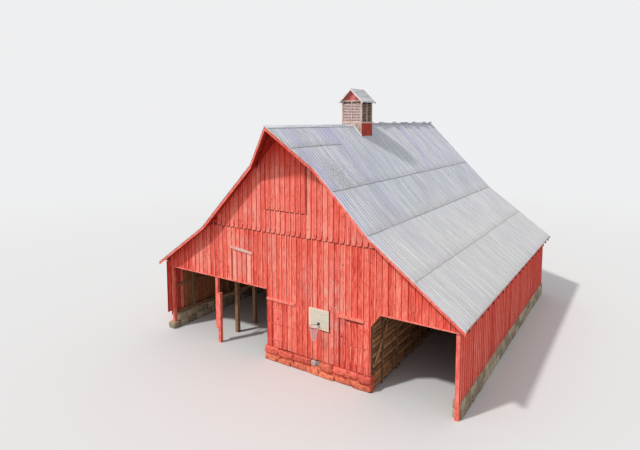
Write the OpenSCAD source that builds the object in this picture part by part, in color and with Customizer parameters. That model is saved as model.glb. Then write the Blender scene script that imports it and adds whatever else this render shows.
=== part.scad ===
// Timber barn with a flared roof, a pointed hay hood, open front bays and a louvred cupola.
// X runs across the barn with the ridge over x = 0, Y runs back from the front gable,
// Z = 0 is the level floor. The origin is the middle of the overall box, on the floor.

/* [Body] */
// Outside length, from the face of the front siding to the face of the back siding
barn_len = 18300; // [12200:50:24400]
// Ridge line to the outer face of either side wall
half_width = 8590; // [8000:10:9400]
// Floor to the lower edge of the siding, where the stone ends
siding_bottom = 750; // [450:10:1000]
// Floor to the top of the open bays, which is also the loft floor
bay_top = 3700; // [3500:10:3900]
// Thickness of the siding boards
siding_t = 25; // [20:1:40]
// Width of one siding board
board_w = 305; // [200:5:400]
// Clearance between pieces that lie on each other
fit = 0.5; // [0.2:0.1:2]

/* [Roof] */
// Top of the roof at the eaves to its top at the ridge
roof_rise = 7905; // [7400:5:8500]
// Pitch of the main roof in degrees
main_pitch = 45.4; // [43:0.1:48]
// Ridge line to the break of the left slope
left_break = 5350; // [5000:10:5700]
// Ridge line to the break of the right slope
right_break = 4620; // [4400:10:5000]
// Top of the open bays to the top of the roof at the eaves
eave_up = 345; // [300:5:500]
// How far the eaves reach past the side walls
eave_out = 360; // [150:10:600]
// How far the roof reaches past both gables
gable_out = 550; // [300:10:900]
// How far the point of the hay hood reaches past the front gable
hood_reach = 1700; // [1200:10:2400]
// Ridge line to the foot of the hay hood on either slope
hood_half = 1900; // [1500:10:2300]
// Depth of the corrugated roof sheets
sheet_t = 22; // [12:1:40]
// Thickness of the roof boards under the sheets
deck_t = 25; // [18:1:40]
// Depth of a rafter
rafter_d = 150; // [100:5:220]
// Width of a rafter
rafter_w = 50; // [38:1:90]
// Number of rafters on each slope
rafter_n = 21; // [12:1:31]
// Thickness of the rake boards
rake_t = 25; // [18:1:40]
// Depth of the rake boards
rake_d = 140; // [100:5:260]
// How far the sheets reach past the rake boards
sheet_lip = 20; // [10:1:40]
// Length of each wing of the ridge cap
cap_wing = 170; // [100:5:260]
// Thickness of the ridge cap
cap_t = 6; // [3:1:12]
// Width of the loose sheets that lie over the ridge behind the cupola
loose_w = 660; // [500:10:900]
// Gap between two loose sheets
loose_gap = 26; // [10:1:60]
// Depth of the braces under the hay hood
brace_d = 120; // [80:5:160]
// Width of the braces under the hay hood
brace_w = 60; // [40:1:90]
// Edge of the hay hood to the second pair of braces
brace_in = 400; // [300:10:600]

/* [Closed front] */
// Ridge line to the left end of the closed front, on the left
closed_left = 1330; // [1200:10:1500]
// Ridge line to the right end of the closed front
closed_right = 4560; // [4400:10:4700]
// Height of the slanted corner of the right bay
corner_cut_h = 650; // [300:10:900]
// Width of the slanted corner of the right bay
corner_cut_w = 490; // [250:10:800]
// Top of the open bays to the centres of the round board ends of the gable
scallop_up = 3050; // [2850:10:3200]
// Radius of the round board ends
scallop_r = 140; // [80:5:150]
// How far the left side wall's boards run on past the front
wing_out = 300; // [100:10:450]
// Floor to the lower edge of the boards that run on
wing_bottom = 1000; // [800:10:1500]

/* [Doors] */
// Width of both doorways
door_w = 1270; // [1000:10:1400]
// Floor to the top of both doorways
door_top = 3160; // [2700:10:3300]
// Left end of the closed front to the hinge side of the left doorway
door_left_in = 290; // [240:10:400]
// Right end of the closed front to the hinge side of the right doorway
door_right_in = 350; // [240:10:450]
// Gap around a door leaf
door_gap = 10; // [6:1:16]
// Thickness of the ledges on the back of a door
ledge_t = 25; // [18:1:40]
// Height of the header boards over the doors
header_h = 130; // [80:5:200]
// How far the header boards stand out
header_out = 60; // [30:1:100]
// How far the header boards run on past a doorway
header_lap = 190; // [120:5:260]
// Tilt of the header board over the loft door in degrees
header_tilt = 6; // [0:0.5:8]
// Edge of a door to the middle of its outer straps
strap_in = 350; // [200:10:500]
// Length of a strap
strap_len = 700; // [400:10:1000]
// Height of a strap
strap_h = 50; // [40:1:70]
// Thickness of a strap
strap_t = 6; // [4:0.5:10]
// Face of the siding to the axis of the hinge pins
pin_out = 30; // [25:1:40]
// Width of the plates that carry the hinge pins
plate_w = 100; // [60:5:130]
// Radius of the hinge pins
pin_r = 8; // [6:0.5:12]
// Play of the hinge eyes round their pins
pin_play = 0.08; // [0.05:0.01:0.1]
// Width of the loft door
loft_door_w = 1360; // [1000:10:1500]
// Ridge line to the left edge of the loft door, on the left
loft_door_x = 3710; // [3500:10:3900]
// Height of the loft door
loft_door_h = 1630; // [1400:10:1800]
// Width of the hay door
hay_door_w = 2500; // [2000:10:2800]
// Ridge line to the left edge of the hay door, on the left
hay_door_x = 1400; // [1200:10:1500]
// Ridge to the top of the hay door
hay_door_drop = 1920; // [1850:10:2200]
// Height of the hay door
hay_door_h = 2200; // [1800:10:2300]

/* [Timbers] */
// Side of the square posts
post_w = 200; // [150:5:260]
// Height of the lintels over the open bays
lintel_h = 220; // [150:5:300]
// Thickness of the lintels and of the posts at the bays
lintel_t = 170; // [120:5:220]
// Height of the sills on the stone walls
sill_h = 200; // [120:5:260]
// Height of the girts that carry the side boards
girt_h = 150; // [100:5:200]
// Thickness of the girts
girt_t = 50; // [38:1:75]
// Ridge line to the middle of the left post line, on the left
line_left = 4880; // [4700:10:5050]
// Ridge line to the middle of the inner row of posts
nave_line = 1760; // [1500:10:2200]
// Number of bays along each post line
bay_n = 12; // [6:1:16]
// Ridge line to where the two front posts of the left bays meet, on the left
bay_posts = 4830; // [4700:10:4900]
// Floor to the foot of the old post, which is cut off
old_post_foot = 780; // [500:10:1200]
// Height of the new post beside it
new_post_h = 2800; // [2500:10:3100]
// Floor to the lower edge of the rail along the left post line
rail_z = 2280; // [1800:10:2500]
// How deep a plate is let into the rafters
seat = 40; // [20:1:60]
// Height of the loft beams
beam_h = 250; // [180:5:350]
// Width of the loft beams
beam_w = 150; // [100:5:220]
// Thickness of the loft floor
floor_t = 30; // [20:1:50]
// Thickness of the planks of the right-hand partition
plank_t = 40; // [25:1:60]

/* [Stone] */
// Thickness of the stone walls under the sides and the back
stone_t = 400; // [300:10:600]
// How far the stone stands out past the siding
stone_out = 120; // [40:5:300]
// Height of the loose stone under the left corner post
corner_stone_h = 350; // [150:10:500]
// Width of the loose stone under the left corner post
corner_stone_w = 520; // [400:10:700]

/* [Cupola] */
// Outside width and depth of the cupola
cupola_w = 1310; // [1000:10:1600]
// Face of the front siding to the front of the cupola
cupola_y = 6170; // [4000:10:9000]
// Ridge to the lower edge of the cupola roof
cupola_up = 1290; // [1100:10:1500]
// Height of the cupola roof
cupola_rise = 766; // [500:2:900]
// How far the cupola roof reaches out on every side
cupola_out = 140; // [80:5:220]
// Thickness of the cupola roof
lid_t = 30; // [20:1:50]
// Thickness of the boards of the cupola base
base_t = 25; // [18:1:40]
// Ridge to the top of the cupola base
base_up = 60; // [40:5:120]
// Side of the cupola's corner posts
cupola_post = 90; // [60:5:140]
// Height of the rails above and below the louvres
cupola_rail = 80; // [50:5:120]
// Width of the posts between the louvres
mullion_w = 60; // [40:5:80]
// Number of louvres one above another in each bay
louvre_n = 13; // [8:1:16]
// Depth of a louvre board
louvre_d = 102; // [80:2:106]
// Thickness of a louvre board
louvre_t = 16; // [10:1:25]
// Slope of the louvres in degrees
louvre_slope = 49; // [25:1:55]

/* [Hoop] */
// Width of the backboard
board_x = 1120; // [900:10:1400]
// Height of the backboard
board_z = 1000; // [800:10:1200]
// Thickness of the backboard
board_t = 20; // [12:1:30]
// Side of the cleats behind the backboard
cleat_t = 50; // [38:1:60]
// Ridge line to the left edge of the backboard
backboard_x = 1280; // [1000:10:1500]
// Floor to the lower edge of the backboard
backboard_z = 2330; // [2100:10:2500]
// Floor to the rim
rim_z = 2610; // [2500:10:2900]
// Backboard to the nearest point of the rim
rim_gap = 150; // [100:5:200]
// Inner diameter of the rim
rim_d = 457; // [400:1:460]
// Thickness of the rim's rod
rim_rod = 20; // [16:1:24]
// Width and height of the rim's back plate
rim_plate = 120; // [80:5:160]
// Width of the arm between plate and rim
rim_arm = 60; // [40:5:100]
// Length of the net
net_h = 680; // [300:10:800]
// Radius of the net at its lower end
net_low_r = 110; // [80:5:150]
// Thickness of the net
net_t = 4; // [2:0.5:8]

/* [Hidden] */
$fn = 48;
cut = 1;
eave_x = half_width + eave_out;
eave_h = bay_top + eave_up;
ridge_h = eave_h + roof_rise;
scallop_h = bay_top + scallop_up;
front_y = (hood_reach - gable_out - barn_len) / 2;
back_y = front_y + barn_len;
inner_front = front_y + siding_t;
inner_back = back_y - siding_t;
frame_d = sheet_t + deck_t + rafter_d;
deck_d = sheet_t + deck_t;
line_right = closed_right - post_w / 2;
hood_tan = (hood_reach - gable_out) / hood_half;
hood_cos = 1 / sqrt(1 + hood_tan * hood_tan);
bay_pitch = (barn_len - 2 * siding_t - post_w) / bay_n;
rafter_pitch = (barn_len - 2 * siding_t - rafter_w) / (rafter_n - 1);
nave_left = -line_left - post_w / 2;
nave_right = line_right + post_w / 2;
stone_top = siding_bottom - door_gap;
door_left_x = closed_left - door_left_in;
door_right_x = closed_right - door_right_in;
door_bottom = siding_bottom + door_gap;
loft_head = bay_top + loft_door_h;
hay_door_z = ridge_h - hay_door_drop - hay_door_h;
pin_y = front_y - pin_out;
eye_r = pin_r + strap_t;
strap_heights = [door_bottom + strap_in, (door_bottom + door_top) / 2, door_top - strap_in];
cupola_front = front_y + cupola_y;
cupola_mid = cupola_front + cupola_w / 2;
cupola_half = cupola_w / 2;
cupola_lean = atan(cupola_rise / (cupola_half + cupola_out));
cupola_eave = ridge_h + cupola_up;
cupola_top = floor(lid_z(cupola_half, lid_t));
base_top = ridge_h + base_up;
rim_r = (rim_d + rim_rod) / 2;
board_face = front_y - cleat_t - board_t;
rim_x = backboard_x + board_x / 2;
rim_y = board_face - rim_gap - rim_r - rim_rod / 2;

// Roof lines: s is -1 on the left and 1 on the right, d is the depth below the roof's top
function break_x(s) = s < 0 ? left_break : right_break;
function break_z(s) = ridge_h - break_x(s) * tan(main_pitch);
function low_pitch(s) = atan((break_z(s) - eave_h) / (eave_x - break_x(s)));
function high_z(s, x, d) = ridge_h - x * tan(main_pitch) - d / cos(main_pitch);
function low_z(s, x, d) = eave_h + (eave_x - x) * tan(low_pitch(s)) - d / cos(low_pitch(s));
function bend_x(s, d) = break_x(s) +
    d * (1 / cos(low_pitch(s)) - 1 / cos(main_pitch)) / (tan(main_pitch) - tan(low_pitch(s)));
function roof_z(s, x, d) = x < bend_x(s, d) ? high_z(s, x, d) : low_z(s, x, d);
function roof_x(s, z, d) = z > high_z(s, bend_x(s, d), d)
    ? (ridge_h - d / cos(main_pitch) - z) / tan(main_pitch)
    : eave_x - (z + d / cos(low_pitch(s)) - eave_h) / tan(low_pitch(s));
function roof_line(s, d, x_end) = [[0, high_z(s, 0, d)],
    [s * bend_x(s, d), high_z(s, bend_x(s, d), d)], [s * x_end, low_z(s, x_end, d)]];
function backwards(list) = [for (i = [len(list) - 1 : -1 : 0]) list[i]];
function lid_z(x, d) = cupola_eave + (cupola_half + cupola_out - x) * tan(cupola_lean)
    - d / cos(cupola_lean);

// The roof's edge seen from above, moved in by a distance
function hood_foot(inset) = hood_half - inset * (1 / hood_cos - 1) / hood_tan;
function front_edge(s, inset, x_end) = [[0, front_y - hood_reach + inset / hood_cos],
    [s * hood_foot(inset), front_y - gable_out + inset],
    [s * x_end, front_y - gable_out + inset]];

module along_y(y0, y1) {
    translate([0, y1, 0]) rotate([90, 0, 0]) linear_extrude(y1 - y0) children();
}

module slab(x0, x1, y0, y1, z0, z1) {
    translate([x0, y0, z0]) cube([x1 - x0, y1 - y0, z1 - z0]);
}

module roof_layer(s, d0, d1, x_end) {
    along_y(front_y - hood_reach, back_y + gable_out)
        polygon(concat(roof_line(s, d0, x_end), backwards(roof_line(s, d1, x_end))));
}

module roof_plan(s, inset, x_end) {
    linear_extrude(ridge_h + cut)
        polygon(concat(front_edge(s, inset, x_end),
            [[s * x_end, back_y + gable_out - inset], [0, back_y + gable_out - inset]]));
}

// Everything under the roof boards, between two heights, as a flat outline
module under_deck(z0, z1) {
    intersection() {
        polygon(concat(backwards(roof_line(-1, deck_d + fit, half_width)),
            roof_line(1, deck_d + fit, half_width), [[half_width, 0], [-half_width, 0]]));
        translate([-half_width, z0]) square([2 * half_width, z1 - z0]);
    }
}

// Stone
module plinth_front() {
    color("#c8453c")
        slab(-closed_left - stone_out, closed_right + stone_out / 2,
            front_y - stone_out, front_y + stone_t, 0, stone_top);
}

module foundation_side(s) {
    outer = half_width + stone_out / 2;
    color("#9c968a")
        slab(min(s * outer, s * (outer - stone_t)), max(s * outer, s * (outer - stone_t)),
            front_y + 2 * post_w, back_y + stone_out / 2, 0, stone_top);
}

module foundation_left() {
    foundation_side(-1);
}

module foundation_right() {
    foundation_side(1);
}

module foundation_back() {
    inner = half_width + stone_out / 2 - stone_t;
    color("#9c968a")
        slab(-inner, inner, back_y + stone_out / 2 - stone_t, back_y + stone_out / 2,
            0, stone_top);
}

module corner_stone() {
    outline = [[-1, -0.8], [-0.5, -1], [0.6, -0.9], [1, -0.2], [0.8, 0.7], [-0.2, 0.9],
        [-0.9, 0.5]];
    color("#d8d4ca")
        translate([-half_width + siding_t + lintel_t / 2, inner_front + lintel_t / 2, 0])
            linear_extrude(corner_stone_h) polygon(outline * corner_stone_w / 2);
}

// Side and back frames: a sill, girts and posts behind the boards
module frame_side(s) {
    x = half_width - siding_t;
    top = low_z(s, x, frame_d) + seat;
    y0 = front_y + 2 * post_w;
    girt_z = (stone_top + sill_h + top - girt_h) / 2;
    module timber(depth, ya, yb, z0, z1) {
        slab(min(s * x, s * (x - depth)), max(s * x, s * (x - depth)), ya, yb, z0, z1);
    }
    color("#7d6a58") {
        timber(post_w, y0, inner_back, stone_top, stone_top + sill_h);
        timber(lintel_t, inner_front + lintel_t, inner_back, top - girt_h, top);
        timber(girt_t, y0, inner_back, girt_z - girt_h / 2, girt_z + girt_h / 2);
        for (i = [1 : 2 : bay_n - 1])
            timber(lintel_t, inner_front + i * bay_pitch, inner_front + i * bay_pitch + lintel_t,
                stone_top, top);
    }
}

module frame_left() {
    frame_side(-1);
}

module frame_right() {
    frame_side(1);
}

module frame_back() {
    inner = half_width - siding_t - post_w;
    beam_z = bay_top - floor_t - beam_h;
    color("#7d6a58") {
        slab(-inner, inner, inner_back - post_w, inner_back, stone_top, stone_top + sill_h);
        slab(-inner, inner, inner_back - girt_t, inner_back, rail_z, rail_z + girt_h);
        slab(-inner, inner, inner_back - lintel_t, inner_back, beam_z, beam_z + beam_h);
        for (x = [-(line_left + half_width) / 2, -line_left, -closed_left, nave_line, line_right,
            (line_right + half_width) / 2])
            slab(x - lintel_t / 2, x + lintel_t / 2, inner_back - lintel_t, inner_back,
                stone_top, beam_z + beam_h);
    }
}

module frame_front() {
    module post(x0, x1) {
        slab(x0, x1, inner_front, inner_front + lintel_t, stone_top, bay_top);
    }
    jamb_left = -door_left_x + door_w;
    jamb_right = door_right_x - door_w;
    color("#7d6a58") {
        post(-closed_left, -door_left_x);
        post(jamb_left, jamb_left + lintel_t);
        post(jamb_right - lintel_t, jamb_right);
        post(door_right_x, closed_right);
        slab(jamb_left, jamb_right, inner_front, inner_front + lintel_t, stone_top,
            stone_top + sill_h);
        slab(-closed_left, closed_right, inner_front, inner_front + lintel_t,
            bay_top - beam_h, bay_top);
    }
}

// Siding of the front, split around the doorways
module siding_front() {
    color("#d9453c")
        along_y(front_y, inner_front) difference() {
            under_deck(bay_top, scallop_h + scallop_r);
            translate([-loft_door_x, bay_top - cut]) square([loft_door_w, loft_door_h + cut]);
        }
}

// The closed front between two upright lines and two heights
module closed_front(x0, x1, z0, z1) {
    along_y(front_y, inner_front) intersection() {
        polygon([[-closed_left, siding_bottom], [closed_right, siding_bottom],
            [closed_right, bay_top - corner_cut_h], [closed_right + corner_cut_w, bay_top],
            [-closed_left, bay_top]]);
        translate([x0, z0]) square([x1 - x0, z1 - z0]);
    }
}

module siding_over_doors() {
    color("#d9453c")
        closed_front(-closed_left, closed_right + corner_cut_w, door_top, bay_top);
}

module siding_beside_left_door() {
    color("#d9453c") closed_front(-closed_left, -door_left_x, siding_bottom, door_top);
}

module siding_between_doors() {
    color("#d9453c")
        closed_front(door_w - door_left_x, door_right_x - door_w, siding_bottom, door_top);
}

module siding_beside_right_door() {
    color("#d9453c")
        closed_front(door_right_x, closed_right + corner_cut_w, siding_bottom, door_top);
}

// The upper boards of a gable, with a round end on each
module scalloped_gable() {
    boards = floor(half_width / board_w);
    notch = 15;
    left = roof_x(-1, scallop_h + notch, deck_d + fit);
    right = roof_x(1, scallop_h + notch, deck_d + fit);
    intersection() {
        under_deck(scallop_h - board_w, ridge_h);
        translate([-left, 0]) square([left + right, ridge_h]);
        union() {
            translate([-half_width, scallop_h + notch]) square([2 * half_width, ridge_h]);
            for (i = [-boards : boards])
                translate([i * board_w, scallop_h]) circle(scallop_r);
        }
    }
}

module gable_front() {
    edge = 100;
    color("#dd4a40")
        along_y(front_y - siding_t, front_y) difference() {
            scalloped_gable();
            translate([-hay_door_x + edge, hay_door_z + edge])
                square([hay_door_w - 2 * edge, hay_door_h - 2 * edge]);
        }
}

module gable_back() {
    color("#dd4a40") along_y(back_y, back_y + siding_t) scalloped_gable();
}

module siding_back() {
    color("#d9453c") along_y(inner_back, back_y) under_deck(siding_bottom, scallop_h + scallop_r);
}

// The left side runs on past the front, round the end of the front's own boards
module siding_left() {
    top = low_z(-1, half_width, frame_d + fit);
    color("#c93f38")
        translate([-half_width, 0, 0]) rotate([90, 0, 90]) linear_extrude(siding_t)
            polygon([[front_y - wing_out, wing_bottom], [inner_front, wing_bottom],
                [inner_front, siding_bottom], [inner_back, siding_bottom], [inner_back, top],
                [inner_front, top], [inner_front, bay_top], [front_y, bay_top],
                [front_y, top], [front_y - wing_out, top]]);
}

module siding_right() {
    color("#c93f38")
        slab(half_width - siding_t, half_width, inner_front, inner_back, siding_bottom,
            low_z(1, half_width, frame_d + fit));
}

// Doors
module hay_door() {
    color("#d5463d")
        along_y(front_y - 2 * siding_t, front_y - siding_t) {
            translate([-hay_door_x, hay_door_z]) square([hay_door_w, hay_door_h]);
            for (i = [0 : floor(hay_door_w / board_w) - 1])
                translate([board_w / 2 + i * board_w - hay_door_x, hay_door_z + scallop_r / 2])
                    circle(scallop_r);
        }
}

module loft_door() {
    color("#e0685c")
        slab(-loft_door_x, loft_door_w - loft_door_x, front_y, inner_front, bay_top, loft_head);
}

module door_headers() {
    color("#e07a6c") {
        slab(-closed_left, door_w - door_left_x + header_lap, front_y - header_out, front_y,
            door_top, door_top + header_h);
        slab(door_right_x - door_w - header_lap / 2, door_right_x + header_lap / 6,
            front_y - header_out, front_y, door_top, door_top + header_h);
        translate([loft_door_w / 2 - loft_door_x, front_y - header_out / 2, loft_head + header_h])
            rotate([0, header_tilt, 0])
                cube([loft_door_w + header_lap, header_out, header_h], center = true);
    }
}

// A ledged door leaf with strap hinges, drawn with its hinge side at x = 0, reaching to +X
module door_leaf() {
    z0 = door_bottom;
    z1 = door_top - door_gap;
    inset = 4 * door_gap;
    color("#d9453c") {
        slab(door_gap, door_w - door_gap, front_y, inner_front, z0, z1);
        for (z = strap_heights)
            slab(inset, door_w - inset, inner_front, inner_front + ledge_t,
                z - girt_h / 2, z + girt_h / 2);
    }
    color("#3b3836")
        for (z = strap_heights) difference() {
            union() {
                slab(pin_r, strap_len, front_y - strap_t, front_y, z - strap_h / 2, z + strap_h / 2);
                slab(0, strap_t + eye_r, pin_y, front_y, z - strap_h / 2, z + strap_h / 2);
                translate([0, pin_y, z - strap_h / 2]) cylinder(r = eye_r, h = strap_h);
            }
            translate([0, pin_y, z - strap_h]) cylinder(r = pin_r + pin_play, h = 2 * strap_h);
        }
}

module door_left() {
    translate([-door_left_x, 0, 0]) door_leaf();
}

module door_right() {
    translate([door_right_x, 0, 0]) mirror([1, 0, 0]) door_leaf();
}

// A wall plate, an arm and an upright pin for each strap, beside a doorway at x = 0
module door_pins() {
    plate_x = -2 * door_gap - plate_w;
    arm_x = plate_x + plate_w / 2;
    for (z = strap_heights) {
        arm_top = z - strap_h / 2 - door_gap / 2;
        slab(plate_x, plate_x + plate_w, front_y - strap_t, front_y, z - strap_h, z + strap_h / 2);
        slab(arm_x, pin_r, pin_y - pin_r, pin_y + pin_r, arm_top - strap_h / 2, arm_top);
        slab(arm_x, arm_x + 2 * pin_r, pin_y, front_y, arm_top - strap_h / 2, arm_top);
        translate([0, pin_y, arm_top - pin_r])
            cylinder(r = pin_r, h = strap_h + door_gap + pin_r);
    }
}

module hinge_pins() {
    color("#3b3836") {
        translate([-door_left_x, 0, 0]) door_pins();
        translate([door_right_x, 0, 0]) mirror([1, 0, 0]) door_pins();
    }
}

// Posts and lintels of the open bays
module lintel_left() {
    color("#7d6a58")
        slab(siding_t - half_width, post_w - closed_left, inner_front, inner_front + lintel_t,
            bay_top, bay_top + lintel_h);
}

module lintel_right() {
    color("#7d6a58")
        slab(closed_right - post_w, half_width - siding_t, inner_front, inner_front + lintel_t,
            bay_top, bay_top + lintel_h);
}

module corner_post_left() {
    color("#c23a33")
        slab(siding_t - half_width, siding_t + lintel_t - half_width,
            inner_front, inner_front + lintel_t, corner_stone_h, bay_top);
}

module corner_post_right() {
    color("#c23a33")
        slab(half_width - siding_t - lintel_t, half_width - siding_t,
            inner_front, inner_front + lintel_t, 0, bay_top);
}

module bay_post_old() {
    color("#c8403a")
        slab(-bay_posts - lintel_t, -bay_posts, inner_front, inner_front + lintel_t,
            old_post_foot, bay_top);
}

module bay_post_new() {
    color("#d4483f")
        slab(-bay_posts, lintel_t - bay_posts, inner_front, inner_front + lintel_t,
            0, new_post_h);
}

// Inner timbers
function plate_top(s) = s < 0 ? roof_z(s, -nave_left, frame_d) + seat :
    roof_z(s, nave_right, frame_d) + seat;

module line_plate(s) {
    x = s < 0 ? nave_left : nave_right - post_w;
    slab(x, x + post_w, inner_front + rafter_w, inner_back - rafter_w,
        plate_top(s) - post_w, plate_top(s));
}

module wall_plate(s) {
    x = half_width - siding_t;
    top = low_z(s, x, frame_d) + seat;
    slab(s < 0 ? -x : x - lintel_t, s < 0 ? lintel_t - x : x, inner_front + lintel_t, inner_back,
        top - girt_h, top);
}

module post_line(s) {
    x = s < 0 ? nave_left : nave_right - post_w;
    line_plate(s);
    for (i = [1 : bay_n - 1])
        slab(x, x + post_w, inner_front + i * bay_pitch, inner_front + i * bay_pitch + post_w,
            0, plate_top(s) - post_w / 2);
}

module post_line_left() {
    color("#8d8274") {
        post_line(-1);
        slab(nave_left - plank_t, nave_left, inner_front + lintel_t,
            inner_front + 3 * bay_pitch + post_w / 2, rail_z, rail_z + girt_h);
    }
}

module post_line_right() {
    color("#7d6a58") post_line(1);
}

module nave_posts() {
    color("#7d6a58")
        for (x = [post_w / 2 - closed_left, nave_line], i = [2 : 2 : bay_n - 2])
            slab(x - post_w / 2, x + post_w / 2, inner_front + i * bay_pitch,
                inner_front + i * bay_pitch + beam_w, 0, bay_top - floor_t - beam_h);
}

module partition() {
    color("#76614d") difference() {
        slab(nave_right, nave_right + plank_t, inner_front + lintel_t, inner_back - post_w,
            0, bay_top - 2 * post_w);
        plinth_front();
        foundation_back();
    }
}

module loft_beams() {
    color("#7d6a58")
        for (i = [1 : bay_n - 1])
            slab(nave_left + post_w, nave_right - post_w, inner_front + i * bay_pitch,
                inner_front + i * bay_pitch + beam_w, bay_top - floor_t - beam_h,
                bay_top - floor_t);
}

module loft_floor() {
    color("#86745f")
        slab(nave_left + post_w, nave_right - post_w, inner_front + lintel_t, inner_back,
            bay_top - floor_t, bay_top);
}

// Roof
module roof_frame(s) {
    x_end = eave_x - sheet_lip;
    difference() {
        union() {
            intersection() {
                roof_layer(s, sheet_t + fit, deck_d, x_end);
                roof_plan(s, sheet_lip + rake_t, x_end);
            }
            for (i = [0 : rafter_n - 1])
                along_y(inner_front + i * rafter_pitch, inner_front + i * rafter_pitch + rafter_w)
                    polygon(concat(roof_line(s, deck_d, x_end),
                        backwards(roof_line(s, frame_d, x_end))));
        }
        line_plate(s);
        wall_plate(s);
    }
}

module roof_frame_left() {
    color("#7a4038") roof_frame(-1);
}

module roof_frame_right() {
    color("#7a4038") roof_frame(1);
}

module roof_sheets(s) {
    intersection() {
        roof_layer(s, 0, sheet_t, eave_x);
        roof_plan(s, 0, eave_x);
    }
}

module roof_left() {
    color("#a9b4be") roof_sheets(-1);
}

module roof_right() {
    color("#a9b4be") roof_sheets(1);
}

// The folded cap in front of the cupola, and the ragged sheet ends behind it
module ridge_cap() {
    wing = cap_wing * cos(main_pitch);
    low = ridge_h + fit;
    high = low + cap_t / cos(main_pitch);
    drop = wing * tan(main_pitch);
    y0 = cupola_front + cupola_w;
    tip_mean = 0.8;
    tip_vary = 0.35;
    tip_step = 137;
    color("#98a3ad") {
        intersection() {
            along_y(front_y - hood_reach, cupola_front) polygon([[-wing, low - drop], [0, low],
                [wing, low - drop], [wing, high - drop], [0, high], [-wing, high - drop]]);
            union() {
                roof_plan(-1, 0, eave_x);
                roof_plan(1, 0, eave_x);
            }
        }
        for (i = [0 : floor((back_y + gable_out - y0) / loose_w) - 1]) {
            tip = wing * (tip_mean + tip_vary * sin(i * tip_step));
            along_y(y0 + i * loose_w, y0 + (i + 1) * loose_w - loose_gap)
                polygon([[-wing, low - drop], [tip, low + tip * tan(main_pitch)],
                    [tip, high + tip * tan(main_pitch)], [-wing, high - drop]]);
        }
    }
}

module rake_front() {
    x_end = eave_x - sheet_lip;
    color("#cf3f37")
        for (s = [-1, 1]) intersection() {
            roof_layer(s, sheet_t + fit, sheet_t + rake_d, x_end);
            linear_extrude(ridge_h) polygon(concat(front_edge(s, sheet_lip, x_end),
                backwards(front_edge(s, sheet_lip + rake_t, x_end))));
        }
}

module rake_back() {
    x_end = eave_x - sheet_lip;
    y1 = back_y + gable_out - sheet_lip;
    color("#cf3f37")
        for (s = [-1, 1]) intersection() {
            roof_layer(s, sheet_t + fit, sheet_t + rake_d, x_end);
            slab(-x_end, x_end, y1 - rake_t, y1, 0, ridge_h);
        }
}

// A pair of braces under the edge of the hood, a second pair further in that runs back to
// the wall, a collar between those two, and the beam under the ridge
module hood_frame() {
    inset = sheet_lip + rake_t;
    wall_y = front_y - siding_t - fit;
    brace_y = front_y - hood_reach + brace_in / hood_cos;
    reach = (wall_y - brace_y) / hood_tan;
    collar_half = hood_half / 4;
    collar_y = brace_y + collar_half * hood_tan;
    collar_z = high_z(1, collar_half, deck_d + brace_d);
    color("#8f342d") {
        for (s = [-1, 1]) intersection() {
            roof_layer(s, deck_d + fit, deck_d + brace_d, eave_x);
            linear_extrude(ridge_h) union() {
                polygon(concat(front_edge(s, inset, hood_half),
                    backwards(front_edge(s, inset + brace_w, hood_half))));
                polygon([[0, brace_y], [s * reach, wall_y],
                    [s * (reach - brace_w / hood_tan / hood_cos), wall_y],
                    [0, brace_y + brace_w / hood_cos]]);
            }
        }
        along_y(front_y - hood_reach + inset / hood_cos + brace_w, wall_y) intersection() {
            under_deck(ridge_h - deck_d - beam_h, ridge_h);
            translate([-brace_w, 0]) square([2 * brace_w, ridge_h]);
        }
        slab(-collar_half, collar_half, collar_y, collar_y + brace_w, collar_z,
            collar_z + brace_w);
    }
}

// Cupola
module cupola_ring(z0, z1, t) {
    difference() {
        slab(-cupola_half, cupola_half, cupola_front, cupola_front + cupola_w, z0, z1);
        slab(t - cupola_half, cupola_half - t, cupola_front + t, cupola_front + cupola_w - t,
            z0 - cut, z1 + cut);
    }
}

module cupola_base() {
    color("#c4502f") difference() {
        cupola_ring(ridge_h - cupola_w, base_top, base_t);
        along_y(cupola_front - cut, cupola_front + cupola_w + cut)
            polygon([[0, ridge_h + fit], [cupola_w, high_z(1, cupola_w, 0) + fit], [cupola_w, 0],
                [-cupola_w, 0], [-cupola_w, high_z(-1, cupola_w, 0) + fit]]);
    }
}

module cupola_frame() {
    color("#dcc8c2") {
        cupola_ring(base_top, base_top + cupola_rail, cupola_post);
        cupola_ring(cupola_top - cupola_rail, cupola_top, cupola_post);
        for (x = [-cupola_half, cupola_half - cupola_post],
            y = [cupola_front, cupola_front + cupola_w - cupola_post])
            slab(x, x + cupola_post, y, y + cupola_post, base_top, cupola_top);
        for (y = [cupola_front, cupola_front + cupola_w - mullion_w])
            slab(-mullion_w / 2, mullion_w / 2, y, y + mullion_w, base_top, cupola_top);
        for (x = [-cupola_half, cupola_half - mullion_w])
            slab(x, x + mullion_w, cupola_mid - mullion_w / 2, cupola_mid + mullion_w / 2,
                base_top, cupola_top);
    }
}

// Two bays of louvres, drawn for the front, with the mullion at x = 0
module louvres(turn) {
    bay = cupola_half - cupola_post - mullion_w / 2;
    z0 = base_top + cupola_rail;
    pitch = (cupola_top - cupola_rail - z0) / louvre_n;
    translate([0, cupola_mid, 0]) rotate(turn)
        for (s = [-1, 1], i = [0 : louvre_n - 1])
            translate([s * (mullion_w + bay) / 2, cupola_post / 2 - cupola_half,
                z0 + (i + 0.5) * pitch])
                rotate([louvre_slope, 0, 0])
                    cube([bay, louvre_d, louvre_t], center = true);
}

module louvres_front() {
    color("#d9cfc8") louvres(0);
}

module louvres_back() {
    color("#d9cfc8") louvres(180);
}

module louvres_left() {
    color("#8a6f66") louvres(-90);
}

module louvres_right() {
    color("#8a6f66") louvres(90);
}

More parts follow.
